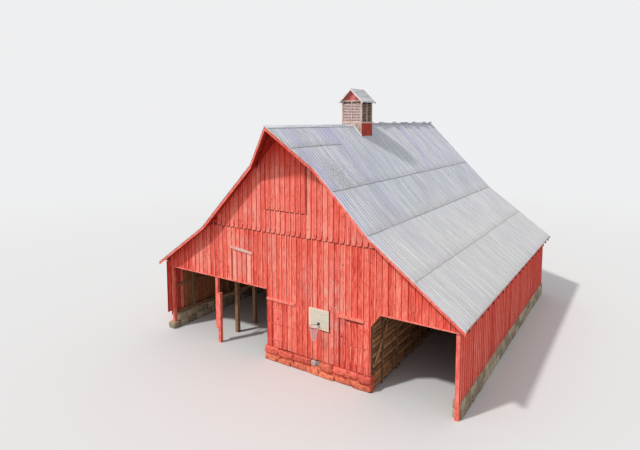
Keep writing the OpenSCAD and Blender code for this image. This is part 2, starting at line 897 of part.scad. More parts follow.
module cupola_gables() {
    foot = cupola_half - (cupola_top - lid_z(cupola_half, lid_t + fit)) / tan(cupola_lean);
    color("#c8463c")
        for (y = [cupola_front, cupola_front + cupola_w - siding_t])
            along_y(y, y + siding_t)
                polygon([[-foot, cupola_top], [foot, cupola_top], [0, lid_z(0, lid_t + fit)]]);
}

module cupola_roof() {
    reach = cupola_half + cupola_out;
    color("#a3adb6")
        along_y(cupola_front - cupola_out, cupola_front + cupola_w + cupola_out)
            polygon([[-reach, lid_z(reach, 0)], [0, lid_z(0, 0)], [reach, lid_z(reach, 0)],
                [reach, lid_z(reach, lid_t)], [0, lid_z(0, lid_t)], [-reach, lid_z(reach, lid_t)]]);
}

// Backboard, rim and net
module backboard() {
    color("#d8d3c4") {
        slab(backboard_x, backboard_x + board_x, board_face, board_face + board_t,
            backboard_z, backboard_z + board_z);
        for (x = [board_x / 6, board_x * 5 / 6 - cleat_t])
            slab(backboard_x + x, backboard_x + x + cleat_t, front_y - cleat_t, front_y,
                backboard_z + cleat_t, backboard_z + board_z - cleat_t);
    }
}

module hoop_rim() {
    color("#8a4a3a") {
        translate([rim_x, rim_y, rim_z]) rotate_extrude() translate([rim_r, 0]) circle(rim_rod / 2);
        slab(rim_x - rim_plate / 2, rim_x + rim_plate / 2, board_face - strap_t, board_face,
            rim_z - rim_plate / 2, rim_z + rim_plate / 2);
        slab(rim_x - rim_arm / 2, rim_x + rim_arm / 2, rim_y + rim_r, board_face - strap_t,
            rim_z - strap_t, rim_z + strap_t);
    }
}

module hoop_net() {
    color("white")
        translate([rim_x, rim_y, rim_z - rim_rod / 2 - net_h]) rotate_extrude()
            polygon([[net_low_r, 0], [net_low_r + net_t, 0], [rim_r + net_t / 2, net_h],
                [rim_r - net_t / 2, net_h]]);
}

plinth_front();
foundation_left();
foundation_right();
foundation_back();
corner_stone();
frame_left();
frame_right();
frame_back();
frame_front();
siding_front();
siding_over_doors();
siding_beside_left_door();
siding_between_doors();
siding_beside_right_door();
gable_front();
siding_left();
siding_right();
siding_back();
gable_back();
hay_door();
loft_door();
door_headers();
door_left();
door_right();
hinge_pins();
lintel_left();
lintel_right();
corner_post_left();
corner_post_right();
bay_post_old();
bay_post_new();
post_line_left();
post_line_right();
nave_posts();
partition();
loft_beams();
loft_floor();
roof_frame_left();
roof_frame_right();
roof_left();
roof_right();
ridge_cap();
rake_front();
rake_back();
hood_frame();
cupola_base();
cupola_frame();
louvres_front();
louvres_back();
louvres_left();
louvres_right();
cupola_gables();
cupola_roof();
backboard();
hoop_rim();
hoop_net();
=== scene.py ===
import math
import random
from itertools import pairwise, product

import bmesh
import bpy
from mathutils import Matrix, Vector, noise


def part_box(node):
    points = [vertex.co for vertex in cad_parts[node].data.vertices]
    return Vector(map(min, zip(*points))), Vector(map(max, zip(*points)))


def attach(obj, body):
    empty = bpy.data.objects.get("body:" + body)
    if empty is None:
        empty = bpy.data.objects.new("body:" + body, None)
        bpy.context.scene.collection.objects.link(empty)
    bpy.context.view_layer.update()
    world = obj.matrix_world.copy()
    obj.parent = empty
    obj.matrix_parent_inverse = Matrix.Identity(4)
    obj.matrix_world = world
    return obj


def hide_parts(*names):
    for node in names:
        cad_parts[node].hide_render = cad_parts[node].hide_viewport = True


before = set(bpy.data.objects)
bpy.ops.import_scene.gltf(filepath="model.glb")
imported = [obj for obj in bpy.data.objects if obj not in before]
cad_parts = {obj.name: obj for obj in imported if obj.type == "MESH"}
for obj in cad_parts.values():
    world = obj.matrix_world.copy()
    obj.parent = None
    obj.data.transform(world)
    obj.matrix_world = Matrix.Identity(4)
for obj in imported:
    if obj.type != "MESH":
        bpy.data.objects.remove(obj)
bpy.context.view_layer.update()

# Sizes in metres, from the frame where a node's box gives them
ROOT = "root"
BOARD = 0.305
BOARD_GAP = 0.005
BATTEN_W = 0.050
BATTEN_T = 0.022
LOW_JOINT = 0.19
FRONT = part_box("siding_front")[0].y
INNER_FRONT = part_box("siding_front")[1].y
GABLE_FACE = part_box("gable_front")[0].y
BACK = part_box("siding_back")[1].y
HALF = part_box("siding_right")[1].x
SIDING_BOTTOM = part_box("siding_left")[0].z
BAY_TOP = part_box("lintel_left")[0].z
LAP_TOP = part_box("siding_front")[1].z
CLOSED_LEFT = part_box("siding_beside_left_door")[0].x
CLOSED_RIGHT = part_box("partition")[0].x
CORNER_CUT_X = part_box("siding_over_doors")[1].x
CORNER_CUT_H = 0.65

# The roof's lines
RIDGE_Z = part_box("roof_right")[1].z
EAVE_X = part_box("roof_right")[1].x
EAVE_Z = 4.045
MAIN_PITCH = math.radians(45.4)
BREAK_X = {-1: 5.35, 1: 4.62}
DECK_UNDER = 0.048
SHEET_T = 0.022
ROOF_FRONT = -9.125
ROOF_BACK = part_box("roof_right")[1].y
HOOD_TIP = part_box("roof_right")[0].y
HOOD_HALF = 1.90
CUPOLA_RISE = 0.766
LOUVRE_N = 13

# The row of round board ends under the upper boards
ARC_Z = 6.75
ARC_R = 0.14


def break_z(side):
    """Height of the roof's change of pitch."""
    return RIDGE_Z - BREAK_X[side] * math.tan(MAIN_PITCH)


def low_pitch(side):
    """Pitch of the lean-to roof."""
    return math.atan((break_z(side) - EAVE_Z) / (EAVE_X - BREAK_X[side]))


def roof_z(x, depth=0.0):
    """Height of the roof at x, measured down into it by depth."""
    side = -1 if x < 0 else 1
    high = RIDGE_Z - abs(x) * math.tan(MAIN_PITCH) - depth / math.cos(MAIN_PITCH)
    pitch = low_pitch(side)
    low = EAVE_Z + (EAVE_X - abs(x)) * math.tan(pitch) - depth / math.cos(pitch)
    return max(high, low)


# Colours are written as they look on a screen, with red, green and blue from 0 to 255


def tint(colour):
    """Blender's linear colour for a colour as it looks."""
    shares = [value / 255 for value in colour]
    return (*(s / 12.92 if s <= 0.04045 else ((s + 0.055) / 1.055) ** 2.4 for s in shares), 1.0)


# Materials


class Paint:
    """A node material. Each step adds nodes and gives back the socket that they end in.

    Where a step takes a value, a tuple that begins with a socket stands for fit with those arguments.
    """

    def __init__(self, name):
        self.material = bpy.data.materials.new(name)
        self.material.use_nodes = True
        self.tree = self.material.node_tree
        self.shader = self.tree.nodes["Principled BSDF"]
        self.place = self.tree.nodes.new("ShaderNodeTexCoord").outputs["Object"]
        self.x, self.y, self.z = self.parts(self.place)
        self.colour = None

    def put(self, socket, value):
        if isinstance(value, tuple) and isinstance(value[0], bpy.types.NodeSocket):
            value = self.fit(*value)
        if isinstance(value, bpy.types.NodeSocket):
            self.tree.links.new(value, socket)
        else:
            socket.default_value = tint(value) if socket.type == "RGBA" and len(value) == 3 else value

    def step(self, kind, out, values, **settings):
        node = self.tree.nodes.new(kind)
        for key, value in settings.items():
            setattr(node, key, value)
        for key, value in values.items():
            self.put(node.inputs[key], value)
        return node.outputs[out]

    def attribute(self, name):
        return self.step("ShaderNodeAttribute", "Vector", {}, attribute_name=name)

    def parts(self, vector):
        node = self.tree.nodes.new("ShaderNodeSeparateXYZ")
        self.put(node.inputs[0], vector)
        return tuple(node.outputs)

    def stretch(self, vector, scale):
        return self.step("ShaderNodeVectorMath", 0, {0: vector, 1: scale}, operation="MULTIPLY")

    def noise(self, scale, detail=3.0, rough=0.6, on=None):
        """Noise at one scale, or with a scale for each axis, by place on the object unless on gives a vector."""
        vector = self.place if on is None else on
        if isinstance(scale, tuple):
            vector, scale = self.stretch(vector, scale), 1.0
        values = {"Vector": vector, "Scale": scale, "Detail": detail, "Roughness": rough}
        return self.step("ShaderNodeTexNoise", "Fac", values)

    def fit(self, value, low, high, to_low=0.0, to_high=1.0):
        """Runs smoothly from to_low, where the value is low, to to_high, where it is high."""
        values = {0: value, 1: low, 2: high, 3: to_low, 4: to_high}
        return self.step("ShaderNodeMapRange", 0, values, interpolation_type="SMOOTHSTEP")

    def maths(self, kind, *values):
        """One sum over two values or more, or over one."""
        total, rest = values[0], values[1:] or (0.0,)
        for value in rest:
            total = self.step("ShaderNodeMath", 0, {0: total, 1: value}, operation=kind)
        return total

    def times(self, *values):
        return self.maths("MULTIPLY", *values)

    def most(self, *values):
        return self.maths("MAXIMUM", *values)

    def mix(self, share, under, over, kind="MIX"):
        return self.step("ShaderNodeMix", 2, {0: share, 6: under, 7: over}, data_type="RGBA", blend_type=kind)

    def base(self, share, under, over):
        self.colour = self.mix(share, under, over)

    def coat(self, share, over, kind="MIX"):
        """Lays one more colour over what is there."""
        self.colour = self.mix(share, self.colour, over, kind)

    def near(self, centre, reach):
        """From 1 at a place on the object to 0 at the given distance from it, by axis."""
        moved = self.step("ShaderNodeVectorMath", 0, {0: self.place, 1: centre}, operation="SUBTRACT")
        scaled = self.stretch(moved, tuple(1 / r for r in reach))
        length = self.step("ShaderNodeVectorMath", "Value", {0: scaled}, operation="LENGTH")
        return self.fit(length, 0.0, 1.0, 1.0, 0.0)

    def patch(self, x, z, wide, tall, strength, deep=2.0):
        """A patch on the front, strong in its middle."""
        return self.times(self.near((x, FRONT, z), (wide, deep, tall)), strength)

    def band(self, here, low, high, soft=0.012):
        """1 between two places on an axis and 0 outside them."""
        return self.times((here, low - soft, low + soft), (here, high - soft, high + soft, 1.0, 0.0))

    def finish(self, roughness, height, bump, depth, metallic=0.0):
        """Gives the shader its colour, roughness and bumps."""
        self.put(self.shader.inputs["Base Color"], self.colour)
        self.put(self.shader.inputs["Roughness"], roughness)
        self.shader.inputs["Metallic"].default_value = metallic
        values = {"Height": height, "Strength": bump, "Distance": depth}
        self.put(self.shader.inputs["Normal"], self.step("ShaderNodeBump", 0, values))
        return self.material


def fine_lines(paint, vector):
    """Fine lines along a board."""
    return paint.noise((55.0, 2.2, 55.0), 4.0, 0.65, on=vector)


def shelter(paint):
    """Under the hay hood and along the rakes, where the roof keeps the sun off: unfaded paint and painted shade."""
    rise = paint.times(paint.maths("ABSOLUTE", paint.x), math.tan(MAIN_PITCH))
    below = paint.maths("SUBTRACT", RIDGE_Z, paint.maths("ADD", paint.z, rise))
    hood = paint.times(paint.near((0.0, FRONT, 11.9), (2.4, 3.0, 2.7)), 1.3)
    return paint.maths("MINIMUM", paint.most((below, 0.1, 1.0, 0.18, 0.0), hood), 0.85)


RIGHT_DOOR_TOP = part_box("door_right")[1].z
# Painted shadows under the round ends and the right door's header, by the hay door and the backboard, and two dark
# joints:
# left and right, bottom and top, and how far out each reaches
FRONT_SHADOWS_AND_JOINTS = (
    (-7.2, 7.2, 6.56, 6.72, FRONT - 0.010),
    (-1.45, 1.10, 7.72, 7.83, GABLE_FACE - 0.010),
    (1.10, 1.165, 7.72, 10.02, GABLE_FACE - 0.010),
    (-2.20, -2.16, 7.05, 7.50, GABLE_FACE - 0.010),
    (4.57, 4.61, 4.00, 4.32, FRONT - 0.010),
    (3.30, 4.17, RIGHT_DOOR_TOP - 0.11, RIGHT_DOOR_TOP + 0.02, FRONT - 0.030),
    (2.30, 2.43, 2.25, 3.36, FRONT - 0.030),
    (1.90, 2.43, 2.24, 2.36, FRONT - 0.030),
)


def corner_dirt(paint):
    """The front's painted shadow lines, and its two dark joints."""
    lines = []
    for x0, x1, z0, z1, face in FRONT_SHADOWS_AND_JOINTS:
        out = (paint.y, face - 0.003, face + 0.003)
        lines.append(paint.times(paint.band(paint.x, x0, x1), paint.band(paint.z, z0, z1, 0.02), out))
    return paint.times(paint.most(*lines), (paint.y, -8.3, -8.2, 1.0, 0.0), 0.8)


WOOD_GREY = (214, 190, 182)


def painted_boards(name, pale, middle, deep, wear=0.5, patches=(), edges=True):
    """Red paint on rough boards: each board has its own shade, with streaks, flecks, bare spots and knots."""
    paint = Paint(name)
    grain = paint.attribute("grain")
    own, _, across = paint.parts(paint.attribute("chance"))
    lines = fine_lines(paint, grain)
    streak = paint.noise((14.0, 0.55, 14.0), 3.0, 0.6, on=grain)
    fleck = paint.noise((30.0, 2.4, 30.0), 5.0, 0.72, on=grain)
    blotch = paint.noise(1.7, 3.0, 0.55, on=grain)
    shade = paint.maths("ADD", paint.times(own, 0.24), paint.times(streak, 0.45), paint.times(fleck, 0.75))
    paint.base((shade, 0.58, 0.74), deep, middle)
    paint.coat((paint.maths("ADD", shade, paint.times(blotch, 0.3)), 0.88, 1.04), pale)
    paint.coat((lines, 0.30, 0.49, 0.60, 0.0), (150, 32, 22))
    # Deeper red under the hood and along the rakes: unfaded paint and painted shade
    paint.coat(shelter(paint), (255, 58, 40))
    paint.coat((fleck, 0.56, 0.68, 0.0, 0.40), (255, 180, 164))
    paint.coat((fleck, 0.32, 0.44, 0.45, 0.0), (168, 40, 30))
    # Bare wood shows where the paint has gone, in flecks
    bare = paint.noise((15.0, 1.9, 15.0), 6.0, 0.78, on=grain)
    worn = paint.fit(bare, 0.64 - 0.05 * wear, 0.72 - 0.05 * wear, 0.0, 0.6 * wear)
    for place in patches:
        worn = paint.most(worn, paint.times(paint.patch(*place), (bare, 0.46, 0.60, 0.10, 1.5)))
    paint.coat(worn, WOOD_GREY)
    cells = {"Vector": paint.stretch(grain, (6.5, 3.0, 6.5)), "Scale": 1.0}
    knots = paint.step("ShaderNodeTexVoronoi", "Distance", cells)
    rare = paint.noise((3.0, 1.6, 3.0), 1.0, on=grain)
    knot = paint.times((knots, 0.04, 0.24, 1.0, 0.0), (rare, 0.46, 0.60, 0.0, 0.9))
    paint.coat(knot, (112, 36, 28))
    if edges:
        # Painted shade and dirt darken the corner beside each batten, most where the batten's shadow falls
        paint.coat(paint.most((across, 0.09, 0.21, 0.95, 0.0), (across, 0.86, 0.91, 0.0, 0.45)), (166, 20, 12))
        # Painted shadows under the round ends, the right door's header, by the hay door and the backboard, and two dark
        # joints
        paint.coat(corner_dirt(paint), (110, 14, 8))
    else:
        # A batten's two sides are darker, as painted shade
        paint.coat(paint.most((across, 0.0, 0.08, 0.9, 0.0), (across, 0.92, 1.0, 0.0, 0.9)), (206, 30, 20))
    paint.coat(paint.times((paint.z, 0.72, 1.25, 0.30, 0.0), blotch), (110, 60, 44))
    height = paint.maths("SUBTRACT", lines, paint.times(knot, 0.6))
    return paint.finish((streak, 0.3, 0.7, 0.72, 0.90), height, 0.45, 0.004)


def bare_wood(name, pale, dark, own_grain=True, dirt=0.35, own_share=0.45):
    """Old unpainted wood with grey grain."""
    paint = Paint(name)
    grain = paint.attribute("grain") if own_grain else paint.stretch(paint.place, (1.0, 1.0, 0.35))
    lines = fine_lines(paint, grain)
    blotch = paint.noise(2.3, 4.0, 0.6, on=grain)
    paint.base((lines, 0.32, 0.68), dark, pale)
    if own_grain:
        own, other, across = paint.parts(paint.attribute("chance"))
        paint.coat(paint.times(own, own_share), pale)
        paint.coat((other, 0.55, 1.0, 0.0, 0.5), dark)
        paint.coat(paint.most((across, 0.0, 0.16, 0.7, 0.0), (across, 0.90, 1.0, 0.0, 0.4)), (50, 32, 22))
    paint.coat((blotch, 0.45, 0.72, 0.0, dirt), (74, 50, 36))
    return paint.finish((blotch, 0.3, 0.7, 0.75, 0.92), lines, 0.5, 0.006)


def painted_timber(name, pale, deep, wood, wear, patches=()):
    """Paint on trim and timbers that the frame holds as they are, by place on the object."""
    paint = Paint(name)
    streak = paint.noise((6.0, 6.0, 2.5), 4.0, 0.65)
    fine = paint.noise((45.0, 45.0, 8.0), 3.0, 0.6)
    paint.base((streak, 0.35, 0.65), deep, pale)
    paint.coat((fine, 0.30, 0.45, 0.35, 0.0), (96, 34, 28))
    worn = paint.fit(paint.noise(5.0, 6.0, 0.75), 0.60, 0.68, 0.0, wear)
    for place in patches:
        worn = paint.most(worn, paint.patch(*place, deep=1.0))
    paint.coat(worn, wood)
    return paint.finish((streak, 0.3, 0.7, 0.68, 0.86), fine, 0.4, 0.004)


def roof_metal(name, own_tint=True, dim=None):
    """Weathered galvanised sheet: each sheet has its own tint, with stains that run down the slope."""
    paint = Paint(name)
    down = paint.attribute("grain") if own_tint else paint.place
    runs = paint.noise((5.0, 0.35, 1.0), 4.0, 0.62, on=down)
    bloom = paint.noise(9.0, 5.0, 0.7, on=down)
    paint.base((runs, 0.38, 0.62), (190, 194, 206), (232, 234, 238))
    if own_tint:
        first, second, from_foot = paint.parts(paint.attribute("chance"))
        paint.coat(paint.times((first, 0.70, 0.95), (paint.z, 8.4, 9.6, 0.22, 0.55)), (192, 180, 228))
        paint.coat((second, 0.76, 0.98, 0.0, 0.50), (190, 218, 202))
        paint.coat((second, 0.05, 0.25, 0.35, 0.0), (158, 164, 180))
        # The flats between the ribs are darker, and so are the laps at each sheet's side and foot
        rib = paint.parts(down)[2]
        paint.coat((rib, 0.25, 0.75, 0.34, 0.0), (136, 142, 158))
        paint.coat((rib, -1.0, -0.55, 0.75, 0.0), (92, 94, 108))
        paint.coat(paint.times((from_foot, 0.0, 0.5, 0.6, 0.0), (bloom, 0.42, 0.60)), (138, 128, 122))
        paint.coat((from_foot, 0.035, 0.06, 0.70, 0.0), (92, 90, 98))
    paint.coat((paint.noise(0.32, 3.0, 0.5), 0.48, 0.70, 0.0, 0.35), (176, 176, 190))
    paint.coat((paint.z, 5.8, 8.6, 0.35, 0.0), (212, 204, 192))
    paint.coat((bloom, 0.56, 0.68, 0.0, 0.45), (140, 134, 134))
    grime = paint.times(paint.near((2.3, -7.6, 9.5), (1.6, 1.5, 1.6)), 0.9)
    paint.coat(paint.times(grime, (bloom, 0.46, 0.58)), (142, 134, 128))
    paint.coat((bloom, 0.32, 0.44, 0.35, 0.0), (238, 240, 242))
    streaks = paint.noise((22.0, 0.8, 1.0), 4.0, 0.7, on=down)
    paint.coat((streaks, 0.34, 0.46, 0.40, 0.0), (140, 144, 160))
    paint.coat((streaks, 0.54, 0.66, 0.0, 0.40), (240, 242, 246))
    rust = paint.noise((11.0, 1.1, 11.0), 5.0, 0.7, on=down)
    paint.coat((rust, 0.69, 0.78, 0.0, 0.6), (150, 104, 78))
    if dim:
        paint.coat(1.0, dim, "MULTIPLY")
    return paint.finish((runs, 0.3, 0.7, 0.56, 0.74), bloom, 0.15, 0.003, 0.06)


def stone_look(name, pale, dark, joint, painted=None):
    """Rough stone, with paint on it where painted gives a colour."""
    paint = Paint(name)
    first, second, third = paint.parts(paint.attribute("chance"))
    lumps = paint.noise(7.0, 6.0, 0.65)
    fine = paint.noise(46.0, 4.0, 0.7)
    paint.base((first, 0.0, 1.0), dark, pale)
    paint.coat((fine, 0.3, 0.7, 0.0, 0.5), joint)
    paint.coat((lumps, 0.55, 0.75, 0.0, 0.5), pale)
    if painted:
        # The paint is thick on the ledge and thin near the ground
        bare = paint.colour
        cover = paint.maths("ADD", paint.noise(2.6, 6.0, 0.75), (paint.z, 0.20, 0.55, 0.02, 0.18))
        orange = paint.most((second, 0.75, 1.0, 0.0, 0.6), (paint.z, 0.20, 0.46, 0.75, 0.0))
        paint.base(orange, painted, (252, 148, 108))
        paint.coat((lumps, 0.36, 0.58, 0.70, 0.0), (150, 40, 26))
        paint.coat((third, 0.0, 0.5, 0.40, 0.0), (176, 56, 42))
        paint.coat((fine, 0.56, 0.70, 0.0, 0.45), (255, 152, 130))
        paint.base((cover, 0.38, 0.46, 0.0, 0.96), bare, paint.colour)
    height = paint.maths("ADD", lumps, paint.times(fine, 0.35))
    return paint.finish((fine, 0.3, 0.7, 0.78, 0.95), height, 0.8, 0.02)


def iron(name, rust_from):
    """Forged or rolled iron with rust."""
    paint = Paint(name)
    cloud = paint.noise(30.0, 5.0, 0.7)
    paint.base((cloud, rust_from, rust_from + 0.16), (54, 50, 48), (132, 74, 50))
    return paint.finish((cloud, 0.3, 0.7, 0.55, 0.85), paint.noise(240.0, 3.0, 0.6), 0.4, 0.001, 0.5)


def painted_iron(name):
    """Iron painted over with the wall, with rust coming through."""
    paint = Paint(name)
    cloud = paint.noise(24.0, 5.0, 0.7)
    fine = paint.noise(200.0, 3.0, 0.6)
    paint.base((fine, 0.3, 0.7), (214, 82, 68), (238, 108, 94))
    paint.coat((cloud, 0.56, 0.68, 0.0, 0.5), (112, 60, 42))
    return paint.finish((cloud, 0.3, 0.7, 0.55, 0.85), fine, 0.4, 0.001)


def cupola_skin(name):
    """The cupola's base: worn pale paint on the faces to the front and back, rust red on the sides."""
    paint = Paint(name)
    facing = paint.tree.nodes.new("ShaderNodeTexCoord").outputs["Normal"]
    streak = paint.noise((9.0, 9.0, 2.5), 4.0, 0.65)
    fine = paint.noise((50.0, 50.0, 12.0), 3.0, 0.6)
    red = paint.mix((streak, 0.35, 0.65), (140, 28, 4), (196, 58, 16))
    pale = paint.mix((streak, 0.35, 0.65), (164, 134, 122), (198, 182, 172))
    paint.base((paint.maths("ABSOLUTE", paint.parts(facing)[1]), 0.4, 0.6), red, pale)
    paint.coat((paint.noise(7.0, 6.0, 0.75), 0.60, 0.70, 0.0, 0.6), (134, 62, 44))
    return paint.finish((streak, 0.3, 0.7, 0.68, 0.86), fine, 0.4, 0.004)


def slats(name, pale, deep, gap):
    """Louvre boards: painted shade where each goes behind the next, darkest as painted shadow under the top rail."""
    paint = Paint(name)
    rail = 0.08
    bottom, top = [corner.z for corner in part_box("cupola_frame")]
    pitch = (top - bottom - 2 * rail) / LOUVRE_N
    turn = paint.maths("FRACT", paint.maths("DIVIDE", paint.maths("SUBTRACT", paint.z, bottom + rail), pitch))
    streak = paint.noise((5.0, 5.0, 9.0), 4.0, 0.65)
    fine = paint.noise((30.0, 30.0, 60.0), 3.0, 0.6)
    paint.base((streak, 0.35, 0.65), deep, pale)
    # Painted shade in the gap behind each slat and painted shadow under the top rail
    dark = paint.most((turn, 0.50, 0.72), (paint.z, top - rail - 0.12, top - rail - 0.07))
    paint.coat(paint.times(dark, 0.9), gap)
    return paint.finish((fine, 0.3, 0.7, 0.7, 0.88), fine, 0.4, 0.003)


def plywood(name):
    """A weathered off-white panel with a peach border."""
    paint = Paint(name)
    low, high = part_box("backboard")
    middle = (low + high) / 2
    half = (high - low) / 2
    edges = []
    for here, centre, reach in ((paint.x, middle.x, half.x), (paint.z, middle.z, half.z)):
        off = paint.maths("ABSOLUTE", paint.maths("SUBTRACT", here, centre))
        edges.append((off, reach - 0.10, reach - 0.06))
    faded = (paint.x, middle.x + half.x * 0.5, middle.x + half.x * 0.9, 1.0, 0.35)
    lines = paint.noise((2.0, 30.0, 34.0), 4.0, 0.65)
    stain = paint.noise(3.4, 5.0, 0.65)
    paint.base((lines, 0.3, 0.7), (206, 200, 182), (226, 220, 206))
    paint.coat(paint.times(paint.most(*edges), faded), (250, 212, 192))
    paint.coat((stain, 0.54, 0.74, 0.0, 0.45), (190, 160, 136))
    return paint.finish((stain, 0.3, 0.7, 0.6, 0.8), lines, 0.25, 0.002)


def cord_look(name):
    """White twisted cord, a little grey."""
    paint = Paint(name)
    twist = paint.noise((160.0, 160.0, 60.0), 2.0, 0.5)
    paint.base((twist, 0.35, 0.65), (206, 200, 204), (240, 236, 238))
    paint.coat((paint.noise(9.0, 3.0, 0.6), 0.5, 0.7, 0.0, 0.35), (190, 164, 158))
    return paint.finish(0.85, twist, 0.4, 0.001)


# Bare patches on the front: place, reach to the sides, reach up and down, and strength
RED_PATCHES = (
    (2.6, 3.3, 1.1, 3.4, 0.60),
    (1.2, 4.3, 0.9, 1.9, 0.35),
    (-2.9, 5.8, 1.2, 0.7, 0.45),
    (-3.0, 4.6, 0.75, 1.1, 0.62),
    (-1.1, 5.9, 0.5, 2.6, 0.35),
    (-2.3, 7.6, 1.0, 1.0, 0.35),
    (-5.9, 4.6, 1.6, 0.6, 0.25),
    (4.0, 7.0, 0.7, 0.5, 0.55),
)
LOFT_DOOR_PATCH = (-3.0, 4.6, 0.75, 1.1, 0.40)
LOFT_HEADER_PATCH = (-3.0, 5.45, 1.4, 0.8, 1.0)
LOOKS = {
    "siding": painted_boards("red_boards", (255, 152, 134), (250, 110, 92), (214, 64, 48), 0.6, RED_PATCHES),
    "gable": painted_boards("gable_paint", (255, 158, 142), (252, 122, 106), (232, 88, 72), 0.35, RED_PATCHES),
    # The battens' paint is lighter than the boards': partly fresher paint, partly a painted highlight on their faces
    "batten": painted_boards("red_battens", (255, 172, 154), (255, 138, 120), (240, 98, 82), edges=False),
    "gable_batten": painted_boards("gable_battens", (255, 164, 148), (253, 128, 112), (236, 92, 76), 0.35, edges=False),
    "pale_siding": painted_boards("pale_red_boards", (255, 182, 166), (255, 146, 130), (242, 104, 88), 0.6,
        [LOFT_DOOR_PATCH]),
    "inside": bare_wood("inside_boards", (196, 130, 86), (126, 74, 42)),
    "planks": bare_wood("grey_planks", (228, 176, 128), (96, 58, 32), dirt=0.7, own_share=0.8),
    "timber": bare_wood("old_timber", (172, 136, 104), (104, 74, 52), own_grain=False),
    "underside": painted_timber("red_underside", (196, 48, 36), (140, 24, 14), (150, 92, 74), 0.30),
    "trim": painted_timber("red_trim", (255, 140, 126), (236, 96, 82), WOOD_GREY, 0.45),
    "header": painted_timber("pale_headers", (252, 150, 136), (232, 104, 88), WOOD_GREY, 0.5, [LOFT_HEADER_PATCH]),
    "cupola": painted_timber("worn_pale_paint", (220, 198, 188), (194, 160, 148), (158, 84, 72), 0.5),
    "cupola_base": cupola_skin("cupola_base_paint"),
    "cupola_gable": painted_timber("cupola_gable_paint", (214, 124, 120), (176, 66, 64), (206, 176, 168), 0.5),
    "louvre": slats("worn_louvres", (232, 214, 210), (206, 176, 170), (96, 52, 50)),
    # The side louvres are a darker copy of the front ones: painted shade
    "shaded_louvre_side": slats("worn_side_louvres", (176, 152, 138), (122, 98, 84), (38, 26, 24)),
    "metal": roof_metal("galvanised_sheet"),
    "cap": roof_metal("galvanised_trim", own_tint=False),
    "cupola_sheet": roof_metal("cupola_sheet", own_tint=False, dim=(0.78, 0.77, 0.76, 1.0)),
    "stone": stone_look("fieldstone", (204, 190, 164), (146, 130, 108), (116, 102, 86)),
    "red_stone": stone_look("painted_fieldstone", (206, 168, 146), (176, 130, 104), (140, 100, 80), (246, 112, 94)),
    "grey_stone": stone_look("bare_fieldstone", (214, 190, 186), (150, 122, 118), (112, 96, 92)),
    "iron": iron("dark_iron", 0.48),
    "painted_iron": painted_iron("painted_iron"),
    "rim": iron("dark_rim", 0.52),
    "plywood": plywood("plywood"),
    "cord": cord_look("net_cord"),
    "white": painted_timber("flashing_paint", (240, 232, 228), (214, 204, 200), (168, 140, 130), 0.35),
}


# Meshes made of many separate pieces


def fate(label):
    """A board's own chance values and its place in the grain, the same for every part of that board."""
    dice = random.Random(label)
    return (dice.random(), dice.random()), Vector([dice.uniform(0, 90) for _ in range(3)])


# Slots of a piece made of red boards: its look outside and inside, its battens', and on a door the iron's
OUTSIDE, INSIDE, BATTEN, PAINTED_IRON, IRON = range(5)
BARE_BACK = (INSIDE, OUTSIDE, OUTSIDE)


class Pieces:
    """Collects solids for one object. Each solid keeps its own chance values and its place along its length."""

    def __init__(self, name, looks=("siding", "inside", "batten"), slot="red_siding"):
        self.name = name
        self.looks = looks
        self.slot = slot
        self.dice = random.Random(name)
        self.points, self.faces, self.slots, self.grain, self.chance = ([] for _ in range(5))

    def solid(self, rings, grains=None, closed=True, looks=OUTSIDE, own=None, across=None):
        """Joins rings of points into one solid. looks is one slot, or the first cap's, sides' and last cap's."""
        start = len(self.points)
        count = len(rings[0])
        chance, shift = own or fate(repr((self.name, start)))
        first, side, last = looks if isinstance(looks, tuple) else (looks,) * 3
        for ring, grain in zip(rings, grains or [[(0, 0, 0)] * count] * len(rings)):
            self.points.extend(tuple(p) for p in ring)
            self.grain.extend(tuple(Vector(g) + shift) for g in grain)
            self.chance.extend((*chance, a) for a in across or [0.5] * count)
        end = start + (len(rings) - 1) * count
        for a in range(start, end, count):
            for i in range(count):
                j = (i + 1) % count
                self.faces.append((a + i, a + j, a + count + j, a + count + i))
                self.slots.append(side)
        if closed:
            self.faces += [tuple(range(start, start + count))[::-1], tuple(range(end, end + count))]
            self.slots += [first, last]

    def board(self, outline, wall, back, front, along="v", looks=OUTSIDE, own=None, span=None):
        """A flat board on a wall: its outline is in the wall's own u and v, and span is the board's full width."""
        swap = along == "u"
        rings = [[wall(u, v, d) for u, v in outline] for d in (back, front)]
        grains = [[(v, u, d) if swap else (u, v, d) for u, v in outline] for d in (back, front)]
        wide = [v if swap else u for u, v in outline]
        low, high = span or (min(wide), max(wide))
        self.solid(rings, grains, looks=looks, own=own, across=[(w - low) / (high - low) for w in wide])

    def block(self, wall, u0, u1, v0, v1, back, front, along="v", looks=OUTSIDE):
        """A plain board or timber with square ends."""
        self.board([(u0, v0), (u1, v0), (u1, v1), (u0, v1)], wall, back, front, along, looks)

    def make(self, *replaces, body=ROOT, smooth=False):
        """Makes the object, which rides on a body and stands for the replaced nodes."""
        mesh = bpy.data.meshes.new(self.name)
        mesh.from_pydata(self.points, [], self.faces)
        for look in self.looks:
            mesh.materials.append(LOOKS[look])
        mesh.polygons.foreach_set("material_index", self.slots)
        for label, values in (("grain", self.grain), ("chance", self.chance)):
            layer = mesh.attributes.new(label, "FLOAT_VECTOR", "POINT")
            layer.data.foreach_set("vector", [c for value in values for c in value])
        shape = bmesh.new()
        shape.from_mesh(mesh)
        bmesh.ops.recalc_face_normals(shape, faces=shape.faces)
        shape.to_mesh(mesh)
        shape.free()
        if smooth:
            mesh.polygons.foreach_set("use_smooth", [True] * len(mesh.polygons))
        made = bpy.data.objects.new(self.name, mesh)
        bpy.context.scene.collection.objects.link(made)
        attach(made, body)
        if replaces:
            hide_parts(*replaces)


